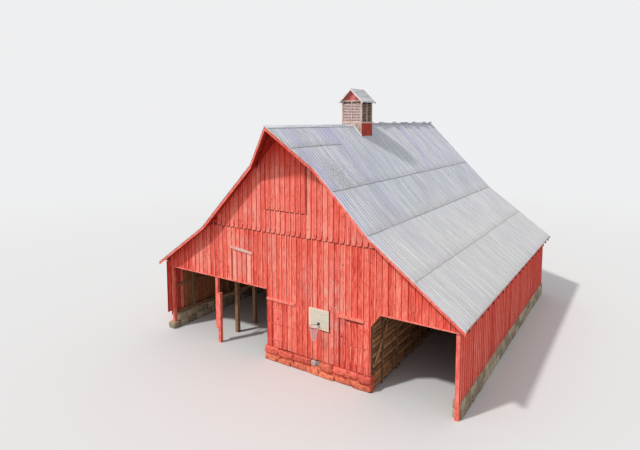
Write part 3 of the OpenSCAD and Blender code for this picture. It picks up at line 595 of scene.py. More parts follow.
def circle(count, place):
    """Points round a circle, each from its cosine and sine."""
    turns = [2 * math.pi * i / count for i in range(count)]
    return [place(math.cos(turn), math.sin(turn)) for turn in turns]


def wall_on(origin, across, outward):
    """A wall's own place: u runs across it, v is height, and d stands out from its face."""
    origin, across, outward = Vector(origin), Vector(across), Vector(outward)
    return lambda u, v, d: origin + across * u + outward * d + Vector((0, 0, v))


FRONT_WALL = wall_on((0, FRONT, 0), (1, 0, 0), (0, -1, 0))
BACK_WALL = wall_on((0, BACK, 0), (-1, 0, 0), (0, 1, 0))
LEFT_WALL = wall_on((-HALF, 0, 0), (0, 1, 0), (-1, 0, 0))
RIGHT_WALL = wall_on((HALF, 0, 0), (0, 1, 0), (1, 0, 0))
SIDING_T = INNER_FRONT - FRONT


# Boards and battens


# A piece of board shorter than this is left out
LEAST = 0.03


def outlines(left, right, bottom, top, bends, holes, steps=()):
    """The pieces of one upright board from left to right, cut by the holes and by steps in the bottom line."""
    cuts = [x for hole in holes for x in hole[:2]] + list(steps)
    found = []
    for a, b in pairwise(sorted({left, right, *(x for x in cuts if left < x < right)})):
        spots = [a + 1e-5, *(x for x in bends if a < x < b), b - 1e-5]
        spans = [(bottom, top)]
        for x0, x1, z0, z1 in holes:
            if x0 < (a + b) / 2 < x1:
                spans = [piece for lo, hi in spans for piece in ((lo, level(z0)), (level(z1), hi))]
        for lo, hi in spans:
            if max(hi(x) - lo(x) for x in spots) >= LEAST:
                under = [(x, lo(x)) for x in spots]
                found.append(under + [(x, max(hi(x), lo(x) + 0.001)) for x in reversed(spots)])
    return found


def level(z):
    """A line at one height, kept as a function like the roof's lines."""
    return lambda x: z


def joints_between(start, end, phase):
    """Where the joints between boards fall."""
    first = math.ceil((start - phase) / BOARD - 1e-6)
    last = math.ceil((end - phase) / BOARD)
    places = [phase + k * BOARD for k in range(first, last + 1)]
    return [place for place in places if start + 1e-6 < place < end - 1e-6]


def board_wall(pieces, wall, start, end, phase, bottom, top, bends=(), holes=(), steps=(), painted_to=None):
    """Upright boards with a batten on each joint. Up to painted_to, their inner faces are painted too."""
    ragged = 0.012
    clear = 0.03
    joints = joints_between(start, end, phase)
    for a, b in pairwise([start, *joints, end]):
        drop = pieces.dice.uniform(0.0, ragged)
        stand = pieces.dice.uniform(-0.0015, 0.0)
        own = fate(f"{pieces.name} {a:.2f}")
        looks = OUTSIDE if painted_to is not None and a < painted_to else BARE_BACK
        line = lambda x: bottom(x) + drop
        for outline in outlines(a + BOARD_GAP / 2, b - BOARD_GAP / 2, line, top, bends, holes, steps):
            pieces.board(outline, wall, -SIDING_T, stand, looks=looks, own=own, span=(a, b))
    near = [(x0 - clear, x1 + clear, z0, z1) for x0, x1, z0, z1 in holes]
    for joint in joints:
        lean = pieces.dice.uniform(-0.004, 0.004)
        drop = pieces.dice.uniform(0.0, 0.03)
        a = joint - BATTEN_W / 2 + lean
        own = fate(f"{pieces.name} batten {a:.2f}")
        for outline in outlines(a, a + BATTEN_W, lambda x: bottom(x) + drop, top, bends, near, steps):
            pieces.board(outline, wall, 0.0, BATTEN_T, looks=BATTEN, own=own)


def closed_bottom(x):
    """The lower edge of the front boards, which steps up over the open bays."""
    if CLOSED_LEFT <= x <= CLOSED_RIGHT:
        return SIDING_BOTTOM
    if CLOSED_RIGHT < x < CORNER_CUT_X:
        return BAY_TOP - CORNER_CUT_H * (CORNER_CUT_X - x) / (CORNER_CUT_X - CLOSED_RIGHT)
    return BAY_TOP


def doorway(node):
    """The opening that a ground-level leaf fills, in the front wall's u and v."""
    low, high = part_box(node)
    hinge_left = node == "door_left"
    left = low.x + (0.014 if hinge_left else -0.010)
    right = high.x + (0.010 if hinge_left else -0.014)
    return (left, right, SIDING_BOTTOM - 0.1, high.z + 0.010)


DOORWAYS = {name: doorway(name) for name in ("door_left", "door_right")}


def front_siding():
    """Lower boards of the front, behind the upper boards' round ends."""
    pieces = Pieces("front_boards")
    low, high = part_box("loft_door")
    holes = [*DOORWAYS.values(), (low.x, high.x, low.z - 0.1, high.z)]
    top = lambda x: min(LAP_TOP, roof_z(x, DECK_UNDER))
    bends = [-BREAK_X[-1], -5.0, BREAK_X[1], 5.2]
    board_wall(pieces, FRONT_WALL, -HALF, HALF, LOW_JOINT, closed_bottom, top, bends,
        holes, (CLOSED_LEFT, CLOSED_RIGHT, CORNER_CUT_X))
    pieces.make("siding_front", "siding_over_doors", "siding_beside_left_door", "siding_between_doors",
        "siding_beside_right_door")


GABLE_REACH = 17


def gable_fate(k):
    """The front gable's board number k, which the hay door carries on."""
    return fate(f"front gable {k}")


def scalloped_boards(pieces, wall, side_of, holes, own_of):
    """Upper boards whose lower ends are round, with a batten on each joint."""
    top = lambda x: roof_z(side_of * x, DECK_UNDER)
    for k in range(-GABLE_REACH, GABLE_REACH + 1):
        middle = k * BOARD
        span = (middle - BOARD / 2, middle + BOARD / 2)
        left = span[0] + BOARD_GAP / 2
        right = span[1] - BOARD_GAP / 2
        centre = ARC_Z + pieces.dice.uniform(-0.015, 0.015)
        if min(top(left), top(right)) < centre + 0.05:
            continue
        arc = half_round(middle, centre, ARC_R, ARC_R, 10)
        if any(x0 < right and x1 > left for x0, x1, _, _ in holes):
            # The part under the holes ends square here
            cut = centre + 0.4
            ends = [arc + [(right, cut), (left, cut)], *outlines(left, right, level(cut), top, (0.0,), holes)]
        else:
            body = outlines(left, right, level(centre), top, (0.0,), ())[0]
            ends = [arc + [p for p in body if p[1] > centre + 0.01]]
        for outline in ends:
            pieces.board(outline, wall, 0.0, SIDING_T, looks=BARE_BACK, own=own_of(k), span=span)
        if k < GABLE_REACH and top(span[1]) > centre + 0.3:
            a = span[1] - BATTEN_W / 2
            own = fate(f"{pieces.name} batten {k}")
            for outline in outlines(a, a + BATTEN_W, level(centre + 0.10), top, (0.0,), holes):
                pieces.board(outline, wall, SIDING_T, SIDING_T + BATTEN_T, looks=BATTEN, own=own)


def half_round(x, z, wide, deep, count):
    """The lower half of an oval, from left to right."""
    turns = [math.pi * (1 + i / count) for i in range(count + 1)]
    return [(x + wide * math.cos(turn), z + deep * math.sin(turn)) for turn in turns]


def gable_boards():
    """Upper boards of both gables."""
    low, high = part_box("hay_door")
    front = Pieces("gable_boards", ("gable", "inside", "gable_batten"))
    scalloped_boards(front, FRONT_WALL, 1, [(low.x + 0.05, high.x - 0.05, low.z + 0.16, high.z - 0.05)], gable_fate)
    front.make("gable_front")
    back = Pieces("back_gable_boards")
    scalloped_boards(back, BACK_WALL, -1, [], lambda k: fate(f"back gable {k}"))
    back.make("gable_back")


def side_siding():
    """Boards on both long sides and the back, with the few that run on past the front at the left."""
    wing = 1.0
    under = {"left": lambda y: wing if y < FRONT else SIDING_BOTTOM, "right": level(SIDING_BOTTOM)}
    for name, wall, painted_to in (("left", LEFT_WALL, FRONT + 3 * BOARD), ("right", RIGHT_WALL, None)):
        low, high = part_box("siding_" + name)
        pieces = Pieces(name + "_boards")
        board_wall(pieces, wall, low.y, high.y, FRONT, under[name], level(high.z - 0.002),
            steps=(FRONT,), painted_to=painted_to)
        pieces.make("siding_" + name)
    pieces = Pieces("back_boards")
    top = lambda u: min(LAP_TOP, roof_z(-u, DECK_UNDER))
    bends = [-BREAK_X[1], BREAK_X[-1], -5.2, 5.0]
    board_wall(pieces, BACK_WALL, -HALF, HALF, LOW_JOINT, level(SIDING_BOTTOM), top, bends)
    pieces.make("siding_back")


# Doors


STRAP_H = 0.05
STRAP_T = 0.006
# Where the hinge pins stand, and the height of the pulls
PIN_Y = -8.605
PULL_Z = 2.27
LEDGE_H = 0.15
# Each board of a door is this much short of its joint
SHORT = 0.002


def strap_heights():
    """Middles of the three straps, from the pins' box."""
    low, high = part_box("hinge_pins")
    bottom = low.z + 0.055
    top = high.z - 0.030
    return (bottom, (bottom + top) / 2, top)


def leaf(node, hinge_side, joints):
    """A ledged door of upright boards with strap hinges, in place of the plain leaf."""
    hinge_left, hinge_right, _, top = DOORWAYS[node]
    gap = 0.010
    left = hinge_left + gap
    right = hinge_right - gap
    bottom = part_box(node)[0].z
    pieces = Pieces(node + "_leaf", ("siding", "inside", "batten", "painted_iron", "iron"))
    for a, b in pairwise([left, *joints, right]):
        drop = pieces.dice.uniform(0.0, 0.012)
        pieces.block(FRONT_WALL, a + SHORT, b - SHORT, bottom + drop, top - gap,
            -SIDING_T, pieces.dice.uniform(-0.002, 0.0), looks=BARE_BACK)
    inset = 0.04
    heights = strap_heights()
    for z in heights:
        pieces.block(FRONT_WALL, left + inset, right - inset, z - LEDGE_H / 2, z + LEDGE_H / 2,
            -2 * SIDING_T, -SIDING_T, "u", looks=INSIDE)
    for joint in joints:
        for z0, z1 in pairwise(heights):
            pieces.block(FRONT_WALL, joint - BATTEN_W / 2, joint + BATTEN_W / 2, z0 + STRAP_H, z1 - STRAP_H,
                0.0, 0.012, looks=BATTEN)
    for z in heights:
        strap(pieces, hinge_left if hinge_side < 0 else hinge_right, -hinge_side, z)
    pull(pieces, right - 0.88 if hinge_side < 0 else left + 0.12)
    pieces.make(node, body=node)


def strap(pieces, hinge_x, turn, z):
    """A tapered strap with a pointed end, its eye round the pin, and three bolt heads."""
    length = 0.70
    wide = STRAP_H / 2
    slim = STRAP_H * 0.30
    shape = [(0.016, -wide), (length - 0.05, -slim), (length, 0), (length - 0.05, slim), (0.016, wide)]
    outline = [(hinge_x + turn * u, z + v) for u, v in shape]
    pieces.board(outline, FRONT_WALL, 0.0, STRAP_T, "u", looks=PAINTED_IRON)
    outer = 0.014
    inner = 0.0085
    out_d = FRONT - PIN_Y
    low, high = z - wide, z + wide
    rings = []
    for radius, height in ((inner, low), (outer, low), (outer, high), (inner, high), (inner, low)):
        rings.append(circle(20, lambda c, s: FRONT_WALL(hinge_x + radius * c, height, out_d + radius * s)))
    pieces.solid(rings, closed=False, looks=PAINTED_IRON)
    # The leg from the strap to its eye
    near_x, far_x = hinge_x + turn * 0.008, hinge_x + turn * 0.018
    pieces.block(FRONT_WALL, near_x, far_x, low, high, 0.0, out_d - 0.006, "u", looks=PAINTED_IRON)
    for u in (0.10, 0.30, 0.55):
        bolt(pieces, hinge_x + turn * u, z)


def bolt(pieces, u, v):
    """A low domed bolt head on a strap."""
    rings = []
    for radius, out in ((0.013, 0.0), (0.012, 0.004), (0.007, 0.0075)):
        rings.append(circle(10, lambda c, s: FRONT_WALL(u + radius * c, v + radius * s, STRAP_T + out)))
    pieces.solid(rings, looks=PAINTED_IRON)


def pull(pieces, u):
    """A dark iron pull on a square plate, where the photograph shows a dark spot."""
    for wide, tall, back, front in ((0.035, 0.035, 0.0, 0.004), (0.010, 0.025, 0.004, 0.022)):
        pieces.block(FRONT_WALL, u - wide, u + wide, PULL_Z - tall, PULL_Z + tall, back, front, looks=IRON)


def loft_door():
    """The door over the left bays, with a batten up its middle and a gap down each side."""
    low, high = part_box("loft_door")
    pieces = Pieces("loft_door_boards", ("pale_siding", "inside", "batten"))
    middle = (low.x + high.x) / 2
    edges = [low.x + 0.014, low.x + 0.33, middle, high.x - 0.36, high.x - 0.014]
    for a, b in pairwise(edges):
        pieces.block(FRONT_WALL, a + SHORT, b - SHORT, low.z, high.z - 0.01, -SIDING_T, -0.003, looks=BARE_BACK)
    pieces.block(FRONT_WALL, middle - 0.03, middle + 0.03, low.z + 0.02, high.z - 0.02, -0.003, 0.02, looks=BATTEN)
    pieces.make("loft_door")


def hay_door():
    """The hay door, whose boards line up with the gable's and end in a wavy line."""
    low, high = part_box("hay_door")
    pieces = Pieces("hay_door_boards", ("gable", "inside", "gable_batten"))
    wave = ARC_R / 2
    rim = low.z + wave
    inner = joints_between(low.x + 0.1, high.x - 0.1, BOARD / 2)
    for a, b in pairwise([low.x, *inner, high.x]):
        k = round((max(a, low.x + 0.03) + min(b, high.x - 0.03)) / 2 / BOARD)
        drop = pieces.dice.uniform(0.0, 0.03)
        outline = [(b - SHORT, high.z), (a + SHORT, high.z)]
        outline += half_round((a + b) / 2, rim + drop, (b - a) / 2 - SHORT, wave, 8)
        span = ((k - 0.5) * BOARD, (k + 0.5) * BOARD)
        pieces.board(outline, FRONT_WALL, SIDING_T, 2 * SIDING_T, looks=BARE_BACK, own=gable_fate(k), span=span)
    for joint in inner:
        pieces.block(FRONT_WALL, joint - BATTEN_W / 2, joint + BATTEN_W / 2, rim + 0.06, high.z,
            2 * SIDING_T, 2 * SIDING_T + BATTEN_T, looks=BATTEN)
    pieces.make("hay_door")


# Roof


RIB_PITCH = 0.22
RIB_H = 0.014
RIB_FOOT = 0.028
RIB_FLAT = 0.015
SHEET_W = 3 * RIB_PITCH
FIRST_SEAM = 10.96
COURSES = {
    1: [RIDGE_Z, FIRST_SEAM, 9.05, 7.265, 5.65, EAVE_Z],
    -1: [RIDGE_Z, 10.60, 8.60, 6.525, 5.30, EAVE_Z],
}


# On the right slope the column of sheets at LAVENDER_Y is tinted, and past it the uppermost sheets are longer
LAVENDER_Y = -5.5
STRIPE = ((1.0, 0.5), (0.4, 0.0), (0.4, 0.05))


def slope_x(side, z):
    """How far from the ridge the roof's face is at height z."""
    if z >= break_z(side) - 0.02:
        return max(0.0, (RIDGE_Z - z) / math.tan(MAIN_PITCH))
    return EAVE_X - (z - EAVE_Z) / math.tan(low_pitch(side))


def rib_height(y):
    """Height of a sheet's ribs at y. They keep to one grid along the whole roof."""
    off = abs((y - ROOF_FRONT) % RIB_PITCH - RIB_PITCH / 2)
    return RIB_H * max(0.0, min(1.0, (RIB_FOOT - off) / (RIB_FOOT - RIB_FLAT)))


def rib_corners(y0, y1, more=()):
    """Where a sheet from y0 to y1 bends."""
    found = {y0, y1, *(y for y in more if y0 < y < y1)}
    for k in range(math.floor((y0 - ROOF_FRONT) / RIB_PITCH) - 1, math.ceil((y1 - ROOF_FRONT) / RIB_PITCH) + 1):
        middle = ROOF_FRONT + (k + 0.5) * RIB_PITCH
        for step in (-RIB_FOOT, -RIB_FLAT, RIB_FLAT, RIB_FOOT):
            if y0 < middle + step < y1:
                found.add(middle + step)
    return sorted(found)


def hood_y(x):
    """Where the hood's slanted edge crosses the line at x."""
    return HOOD_TIP + x / HOOD_HALF * (ROOF_FRONT - HOOD_TIP)


def sheets(side, name, node):
    """Ribbed sheets in courses, each lapped over the one below, cut to the hood's edge at the front."""
    pieces = Pieces(name, ("metal",), "roof_metal")
    columns = [(HOOD_TIP, ROOF_FRONT - SHEET_W), (ROOF_FRONT - SHEET_W, ROOF_FRONT)]
    y = ROOF_FRONT
    while y < ROOF_BACK - 0.01:
        columns.append((y, min(y + SHEET_W, ROOF_BACK)))
        y += SHEET_W
    for column, (y0, y1) in enumerate(columns):
        in_hood = y1 <= ROOF_FRONT + 1e-6
        levels = [z for z in COURSES[side] if z != FIRST_SEAM or y0 < LAVENDER_Y]
        for row, (high, low) in enumerate(pairwise(levels)):
            x0 = slope_x(side, high)
            x1 = slope_x(side, low)
            pitch = MAIN_PITCH if x0 < BREAK_X[side] - 0.01 else low_pitch(side)
            last = row == len(levels) - 2
            slip = pieces.dice.uniform(-0.012, 0.0) if last else 0.05 + pieces.dice.uniform(-0.015, 0.012)
            end = min(x1 + slip * math.cos(pitch), EAVE_X)
            corners = rib_corners(y0, y1)
            if in_hood:
                start = max(y0, hood_y(x0) + 0.002)
                if start >= y1 - 0.01:
                    continue
                corners = rib_corners(start, y1, (hood_y(end),))
            (first, second), shift = fate(f"{name} column {column}")
            third, _ = fate(f"{name} {row} {column}")[0]
            first, second = 0.8 * first + 0.2 * third, 0.15 + 0.75 * second
            if side == 1 and y0 < LAVENDER_Y < y1 and row < len(STRIPE):
                first, second = STRIPE[row]
            own = ((first, second), shift + Vector((0, 3.0 * row, 0)))
            one_sheet(pieces, side, corners, in_hood, x0, end, pitch, own)
    pieces.make(node)


def one_sheet(pieces, side, corners, in_hood, x0, x1, pitch, own):
    """One sheet as a thin solid that follows its ribs. It lies flat at its head and over the next at its foot."""
    thick = 0.0015
    out = slope_normal(side, pitch)
    rings = []
    grains = []
    for y in corners:
        stop = max(x0 + 0.002, min(x1, HOOD_HALF * (y - HOOD_TIP) / (ROOF_FRONT - HOOD_TIP))) if in_hood else x1
        rib = rib_height(y)
        ring = []
        for x, tip in ((x0, 0.001), (stop, 0.005)):
            lift = SHEET_T - tip - thick - rib
            ring.append(Vector((side * x, y, roof_z(side * x))) - out * max(lift, 0.0))
        ring += [ring[1] - out * thick, ring[0] - out * thick]
        rings.append(ring)
        lap = -1.0 if y == corners[0] else rib / RIB_H
        grains.append([(y, abs(p.x) / math.cos(pitch), lap) for p in ring])
    length = (x1 - x0) / math.cos(pitch)
    pieces.solid(rings, grains, own=(own[0], Vector((own[1].x, own[1].y, 0.0))), across=[length, 0.0, 0.0, length])


def slope_normal(side, pitch):
    """The direction that a roof face looks in."""
    return Vector((side * math.sin(pitch), 0, math.cos(pitch)))


def rake_lip():
    """A folded metal edge over the top of the front and back rake boards."""
    pieces = Pieces("rake_edges", ("cap",), "roof_metal")
    thick = 0.004
    down = Vector((0, 0, -0.055))
    for side in (-1, 1):
        front = [(0.0, HOOD_TIP), (HOOD_HALF, ROOF_FRONT), (BREAK_X[side], ROOF_FRONT), (EAVE_X, ROOF_FRONT)]
        back = [(0.0, ROOF_BACK), (BREAK_X[side], ROOF_BACK), (EAVE_X, ROOF_BACK)]
        for line, inward in ((front, 1), (back, -1)):
            for start, end in pairwise(line):
                flat = Vector((side * (end[0] - start[0]), end[1] - start[1], 0)).normalized()
                inside = Vector((-flat.y, flat.x, 0)) * side * inward
                rings = []
                for x, y in (start, end):
                    outer = Vector((side * x, y, roof_z(side * x) - 0.001)) + inside * 0.003
                    inner = outer + inside * thick
                    rings.append([outer, inner, inner + down, outer + down])
                pieces.solid(rings)
    pieces.make()


# Stones


# Blender's noise starts from the clock unless it is given a seed
noise.seed_set(1)


def stone(pieces, wall, u0, u1, v0, v1, back, front, lumpy=0.10, look=0):
    """A rough block with round edges: a cube whose points are drawn in and pushed about."""
    steps = 5
    seed = Vector([pieces.dice.uniform(0, 50) for _ in range(3)])
    size = Vector(((u1 - u0) / 2, (v1 - v0) / 2, (front - back) / 2))
    middle = Vector(((u0 + u1) / 2, (v0 + v1) / 2, (front + back) / 2))
    chance = tuple(pieces.dice.random() for _ in range(3))
    start = len(pieces.points)
    index = {}

    def corner(key):
        if key not in index:
            point = Vector([2 * k / steps - 1 for k in key])
            round_point = point.normalized() * 1.22
            shaped = point.lerp(round_point, 0.34)
            shaped += noise.noise_vector(shaped * 1.3 + seed) * lumpy
            shaped += noise.noise_vector(shaped * 3.7 + seed) * lumpy * 0.35
            shaped = Vector([max(-1.0, min(1.0, c)) for c in shaped])
            place = Vector([middle[i] + size[i] * shaped[i] for i in range(3)])
            index[key] = start + len(index)
            pieces.points.append(tuple(wall(*place)))
            pieces.grain.append(tuple(place + seed))
            pieces.chance.append(chance)
        return index[key]

    for axis, end, i, j in product(range(3), (0, steps), range(steps), range(steps)):
        square = []
        for key in ([i, j], [i + 1, j], [i + 1, j + 1], [i, j + 1]):
            key.insert(axis, end)
            square.append(corner(tuple(key)))
        pieces.faces.append(tuple(square))
        pieces.slots.append(look)


def stone_row(pieces, wall, start, end, v0, v1, back, front, short, long, ragged=0.02, lumpy=0.10, uneven=0.03, look=0):
    """Stones of uneven length laid side by side."""
    u = start
    while u < end - 0.05:
        length = pieces.dice.uniform(short, long)
        stop = min(u + length, end)
        if end - stop < short * 0.5:
            stop = end
        top = v1 - pieces.dice.uniform(0.0, ragged)
        out = front - pieces.dice.uniform(0.0, uneven)
        bottom = v0 - pieces.dice.uniform(0.0, ragged) * (v0 > 0)
        stone(pieces, wall, u + 0.004, stop - 0.004, bottom, top, back, out, lumpy, look)
        u = stop


# Depth of the mortar bed, and the low course's share of a wall's height
BED = 0.05
LOW_SHARE = 0.52


def rubble_wall(node, wall, start, end, face, low_start):
    """A stone wall two courses high: its face and its back, a mortar core between them, and a mortar bed on top."""
    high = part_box(node)[1].z
    pieces = Pieces(node + "_stones", ("stone",), "stone")
    half = high * LOW_SHARE
    for v0, v1, first in ((0.0, half, low_start), (half, high, start)):
        stone_row(pieces, wall, first, end, v0, v1, face - 0.22, face + 0.02, 0.35, 0.75)
        stone_row(pieces, wall, first, end, v0, v1, face - 0.41, face - 0.20, 0.35, 0.75)
    pieces.block(wall, start, end, high - BED, high - 0.001, face - 0.35, face - 0.06)
    pieces.block(wall, start + 0.1, end - 0.1, 0.0, high - BED, face - 0.26, face - 0.16)
    pieces.make(node, smooth=True)


def foundations():
    """Stone walls under the sides and back, and the painted ledge under the front."""
    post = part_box("corner_post_right")[1].y
    low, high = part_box("foundation_left")
    rubble_wall("foundation_left", LEFT_WALL, post, high.y, -low.x - HALF, low.y)
    low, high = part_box("foundation_right")
    rubble_wall("foundation_right", RIGHT_WALL, post, high.y, high.x - HALF, post)
    low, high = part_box("foundation_back")
    rubble_wall("foundation_back", BACK_WALL, low.x, high.x, high.y - BACK, low.x)
    low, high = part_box("plinth_front")
    out = FRONT - low.y
    pieces = Pieces("plinth_stones", ("red_stone", "grey_stone"), "painted_stone")
    left, right = low.x - 0.02, high.x + 0.02
    # The ledge's top course is broken by a few bare stones
    broken, whole = 1.38, 1.88
    for start, end, v0, v1, push, short, long, ragged, lumpy, uneven in (
        (left, right, 0.0, 0.29, -0.02, 0.35, 1.15, 0.07, 0.26, 0.09),
        (left, right, 0.20, 0.52, -0.06, 0.30, 1.30, 0.07, 0.26, 0.09),
        (left, broken, 0.44, high.z, 0.04, 0.60, 1.40, 0.06, 0.20, 0.07),
        (whole, right, 0.44, high.z, 0.04, 0.60, 1.40, 0.06, 0.20, 0.07),
    ):
        stone_row(pieces, FRONT_WALL, start, end, v0, v1, out - 0.28, out + push, short, long, ragged, lumpy, uneven)
    stone_row(pieces, FRONT_WALL, broken, whole, 0.48, high.z - 0.03, out - 0.28, out - 0.06, 0.20, 0.30,
        0.05, 0.2, 0.05, look=1)
    for v0, v1 in ((0.0, 0.27), (0.22, 0.50), (0.48, high.z)):
        stone_row(pieces, FRONT_WALL, low.x, high.x, v0, v1, out - 0.52, out - 0.24, 0.40, 0.80)
    pieces.make("plinth_front", smooth=True)
    low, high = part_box("corner_stone")
    pieces = Pieces("corner_stone_block", ("stone",), "stone")
    stone(pieces, FRONT_WALL, low.x, high.x, low.z, high.z, FRONT - high.y, FRONT - low.y, 0.14)
    pieces.make("corner_stone", smooth=True)


# Inside the open bays


def partition_planks():
    """Level planks on the wall beside the right bay, with studs and a leaning board on its face."""
    low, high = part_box("partition")
    wall = wall_on((low.x, 0, 0), (0, 1, 0), (1, 0, 0))
    thick = high.x - low.x
    pieces = Pieces("partition_planks", ("planks",), "old_timber")
    # The lowest planks fit between the ledge and the back wall's stones
    stones_top, ledge, back_wall = 0.74, -8.17, 9.38
    v = high.z
    while v > 0.12:
        deep = pieces.dice.uniform(0.17, 0.24)
        u = low.y + pieces.dice.uniform(0.0, 0.03)
        bottom = max(v - deep, 0.0 if v > 0.8 else 0.02)
        while u < high.y - 0.2:
            stop = min(u + pieces.dice.uniform(3.2, 4.8), high.y)
            start, finish = (max(u, ledge), min(stop, back_wall)) if bottom < stones_top else (u, stop)
            front = thick - pieces.dice.uniform(0.0, 0.008)
            pieces.block(wall, start, finish - 0.006, bottom, v - 0.008, 0.0, front, "u")
            u = stop
        v = bottom - pieces.dice.uniform(0.0, 0.035)
    pieces.make("partition")
    pieces = Pieces("bay_studs", ("planks", "trim"), "old_timber")
    for u in (-7.55, -5.95, -3.0):
        pieces.block(wall, u, u + 0.10, 0.0, 3.30, thick + 0.001, thick + 0.06)
    brace = [(-8.35, 1.35), (-8.27, 1.20), (-7.05, 2.72), (-7.15, 2.84)]
    pieces.board(brace, wall, thick + 0.061, thick + 0.10, "u")
    pieces.make()


# Hoop


def net():
    """A knotted net of diamonds that hangs from the rim and narrows downwards."""
    low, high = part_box("hoop_net")
    centre = (low + high) / 2
    top_r = (high.x - low.x) / 2 - 0.010
    low_r = 0.086
    around = 12
    levels = 11
    cord_r = 0.005
    sides = 5
    pieces = Pieces("net_cords", ("cord",), "net")

    def knot(k, turn):
        share = k / (levels - 1)
        radius = top_r + (low_r - top_r) * share ** 0.8
        angle = 2 * math.pi * turn / around
        z = high.z - (high.z - low.z - cord_r * 2) * share - cord_r
        return Vector((centre.x + radius * math.cos(angle), centre.y + radius * math.sin(angle), z))

    for k in range(levels - 1):
        for i in range(around):
            here = i + 0.5 * (k % 2)
            for step in (-0.5, 0.5):
                cord_between(pieces, knot(k, here), knot(k + 1, here + step), cord_r, sides)
    for i in range(around):
        bead(pieces, knot(0, i), 0.007)
    pieces.make("hoop_net", smooth=True)


def cord_between(pieces, start, end, radius, sides):
    """A short round cord that sags a little between two knots."""
    line = end - start
    side = line.cross(Vector((0.31, 0.17, 0.94))).normalized()
    up = side.cross(line).normalized()
    rings = []
    for share in (0.0, 0.25, 0.5, 0.75, 1.0):
        middle = start + line * share + Vector((0, 0, -0.004 * math.sin(math.pi * share)))
        swell = radius * (1.7 if share in (0.0, 1.0) else 1.0)
        rings.append(circle(sides, lambda c, s: middle + side * swell * c + up * swell * s))
    pieces.solid(rings)


def bead(pieces, place, radius):
    """The loop of cord where the net hooks to the rim."""
    rings = []
    for share in (-0.9, -0.5, 0.0, 0.5, 0.9):
        wide = radius * math.sqrt(max(0.05, 1 - share * share))
        rings.append(circle(8, lambda c, s: place + Vector((wide * c, wide * s, share * radius))))
    pieces.solid(rings)


# Trim that the frame leaves out


def trims():
    """Pale strips along the lower edge of the boards over the open bays."""
    pieces = Pieces("bay_trim", ("header",), "red_trim")
    for u0, u1 in ((-HALF, CLOSED_LEFT - 0.02), (CORNER_CUT_X, HALF)):
        pieces.block(FRONT_WALL, u0, u1, BAY_TOP - 0.01, BAY_TOP + 0.055, BATTEN_T, BATTEN_T + 0.02, "u")
    pieces.make()


def cupola_trims():
    """Pale rake boards under the cupola's roof, and the flashing at the foot of its front and back."""
    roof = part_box("cupola_roof")
    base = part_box("cupola_base")
    rakes = Pieces("cupola_rakes", ("white",), "cupola_trim")
    flashing = Pieces("cupola_flashing", ("white",), "cupola_trim")
    reach = roof[1].x
    top = roof[1].z - 0.006
    foot = top - CUPOLA_RISE
    near_x, far_x = 0.13, base[1].x + 0.03
    foot_line = ((near_x, 0.004), (far_x, 0.004), (far_x, 0.10), (near_x, 0.10))
    for end, out in ((0, -1), (1, 1)):
        wall, base_wall = (wall_on((0, box[end].y, 0), (1, 0, 0), (0, out, 0)) for box in (roof, base))
        for side in (-1, 1):
            rake = [(0, top), (side * reach, foot), (side * reach, foot - 0.10), (0, top - 0.11)]
            rakes.board(rake, wall, 0.001, 0.022, "u")
            outline = [(side * x, roof_z(side * x) + up) for x, up in foot_line]
            flashing.board(outline, base_wall, 0.0005, 0.006, "u")
    rakes.make()
    flashing.make()


# Looks of the nodes that stay as the frame holds them


KEPT = {
    "timber": ("frame_left", "frame_right", "frame_back", "frame_front", "post_line_left", "post_line_right",
        "nave_posts", "loft_beams", "loft_floor"),
    "trim": ("corner_post_left", "corner_post_right", "bay_post_old", "bay_post_new", "rake_front", "rake_back"),
    "header": ("door_headers",),
    "underside": ("roof_frame_left", "roof_frame_right", "hood_frame", "lintel_left", "lintel_right"),
    "cap": ("ridge_cap",),
    "cupola_sheet": ("cupola_roof",),
    "cupola": ("cupola_frame",),
    "cupola_base": ("cupola_base",),
    "cupola_gable": ("cupola_gables",),
    "louvre": ("louvres_front", "louvres_back"),
    "shaded_louvre_side": ("louvres_left", "louvres_right"),
    "painted_iron": ("hinge_pins",),
    "rim": ("hoop_rim",),
    "plywood": ("backboard",),
}


def dress_kept():
    """Gives each kept node its material."""
    for look, nodes in KEPT.items():
        for node in nodes:
            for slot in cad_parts[node].material_slots:
                slot.link = "OBJECT"
                slot.material = LOOKS[look]


# Light, floor and camera


# The background, then the floor as it looks and as it throws light back
PALE = (0.86, 0.865, 0.875, 1.0)
FLOOR_LOOK = (0.66, 0.66, 0.66, 1.0)
FLOOR_BOUNCE = (0.40, 0.34, 0.29, 1.0)


def eye_rays(tree):
    """1 for light on its way to the camera, straight, by a reflection or through glass."""
    path = tree.nodes.new("ShaderNodeLightPath")
    seen = path.outputs["Is Camera Ray"]
    for kind in ("Is Glossy Ray", "Is Transmission Ray"):
        either = tree.nodes.new("ShaderNodeMath")
        either.operation = "MAXIMUM"
        tree.links.new(seen, either.inputs[0])
        tree.links.new(path.outputs[kind], either.inputs[1])
        seen = either.outputs[0]
    return seen


def blend(tree, share, under, over, out):
    """Mixes two shaders by share into the output node."""
    mix = tree.nodes.new("ShaderNodeMixShader")
    for socket, value in zip(mix.inputs, (share, under.outputs[0], over.outputs[0])):
        tree.links.new(value, socket)
    tree.links.new(mix.outputs[0], out.inputs[0])


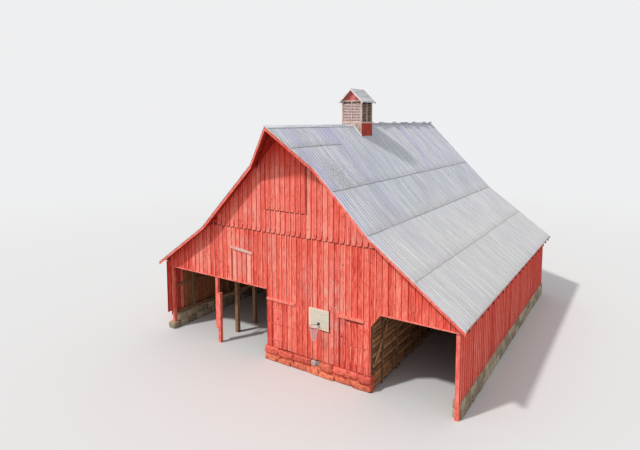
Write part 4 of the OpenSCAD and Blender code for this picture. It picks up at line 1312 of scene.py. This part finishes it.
def studio():
    """A soft sun from the front left, an even sky, and a pale floor that fades into the pale background."""
    world = bpy.data.worlds.new("pale_studio")
    bpy.context.scene.world = world
    world.use_nodes = True
    nodes = world.node_tree.nodes
    nodes.clear()
    light = nodes.new("ShaderNodeBackground")
    light.inputs[0].default_value = (0.96, 0.98, 1.0, 1.0)
    light.inputs[1].default_value = 0.72
    shown = nodes.new("ShaderNodeBackground")
    shown.inputs[0].default_value = PALE
    blend(world.node_tree, eye_rays(world.node_tree), light, shown, nodes.new("ShaderNodeOutputWorld"))
    sun_data = bpy.data.lights.new("sun", "SUN")
    sun_data.energy = 2.3
    sun_data.angle = math.radians(4)
    sun_data.color = (1.0, 0.975, 0.94)
    sun = bpy.data.objects.new("sun", sun_data)
    sun.rotation_euler = Vector((0.55, 1.0, -1.30)).to_track_quat("-Z", "Y").to_euler()
    bpy.context.scene.collection.objects.link(sun)
    floor()


def floor():
    """A wide disc at ground level. It is pale to the eye, and darker to the light that it throws back."""
    shape = bmesh.new()
    bmesh.ops.create_circle(shape, cap_ends=True, segments=96, radius=220)
    mesh = bpy.data.meshes.new("floor")
    shape.to_mesh(mesh)
    shape.free()
    disc = bpy.data.objects.new("floor", mesh)
    bpy.context.scene.collection.objects.link(disc)
    paint = Paint("pale_floor")
    seen = eye_rays(paint.tree)
    paint.put(paint.shader.inputs["Base Color"], paint.mix(seen, FLOOR_BOUNCE, FLOOR_LOOK))
    paint.shader.inputs["Roughness"].default_value = 0.9
    paint.shader.inputs["Specular IOR Level"].default_value = 0.0
    glow = paint.tree.nodes.new("ShaderNodeEmission")
    glow.inputs[0].default_value = PALE
    length = paint.step("ShaderNodeVectorMath", "Value", {0: paint.place}, operation="LENGTH")
    far = paint.times((length, 22.0, 70.0), seen)
    blend(paint.tree, far, paint.shader, glow, paint.tree.nodes["Material Output"])
    mesh.materials.append(paint.material)


def camera():
    """A pinhole camera where the photograph was taken from."""
    focal_px = 499.18
    picture_w = 640
    data = bpy.data.cameras.new("camera")
    data.sensor_fit = "HORIZONTAL"
    data.sensor_width = 36.0
    data.lens = focal_px / picture_w * data.sensor_width
    data.shift_x = (picture_w / 2 - 320.48) / picture_w
    data.shift_y = (169.50 - 450 / 2) / picture_w
    data.clip_end = 1000
    made = bpy.data.objects.new("camera", data)
    made.location = (14.412, -27.622, 12.132)
    made.rotation_euler = (math.radians(90 - 5.53), 0.0, math.radians(33.30))
    bpy.context.scene.collection.objects.link(made)
    bpy.context.scene.camera = made


bpy.context.scene.view_settings.view_transform = "Standard"
camera()
studio()
dress_kept()
front_siding()
gable_boards()
side_siding()
leaf("door_left", -1, [-0.404, -0.098])
leaf("door_right", 1, joints_between(3.0, 4.1, LOW_JOINT))
loft_door()
hay_door()
sheets(1, "right_sheets", "roof_right")
sheets(-1, "left_sheets", "roof_left")
rake_lip()
foundations()
partition_planks()
net()
trims()
cupola_trims()
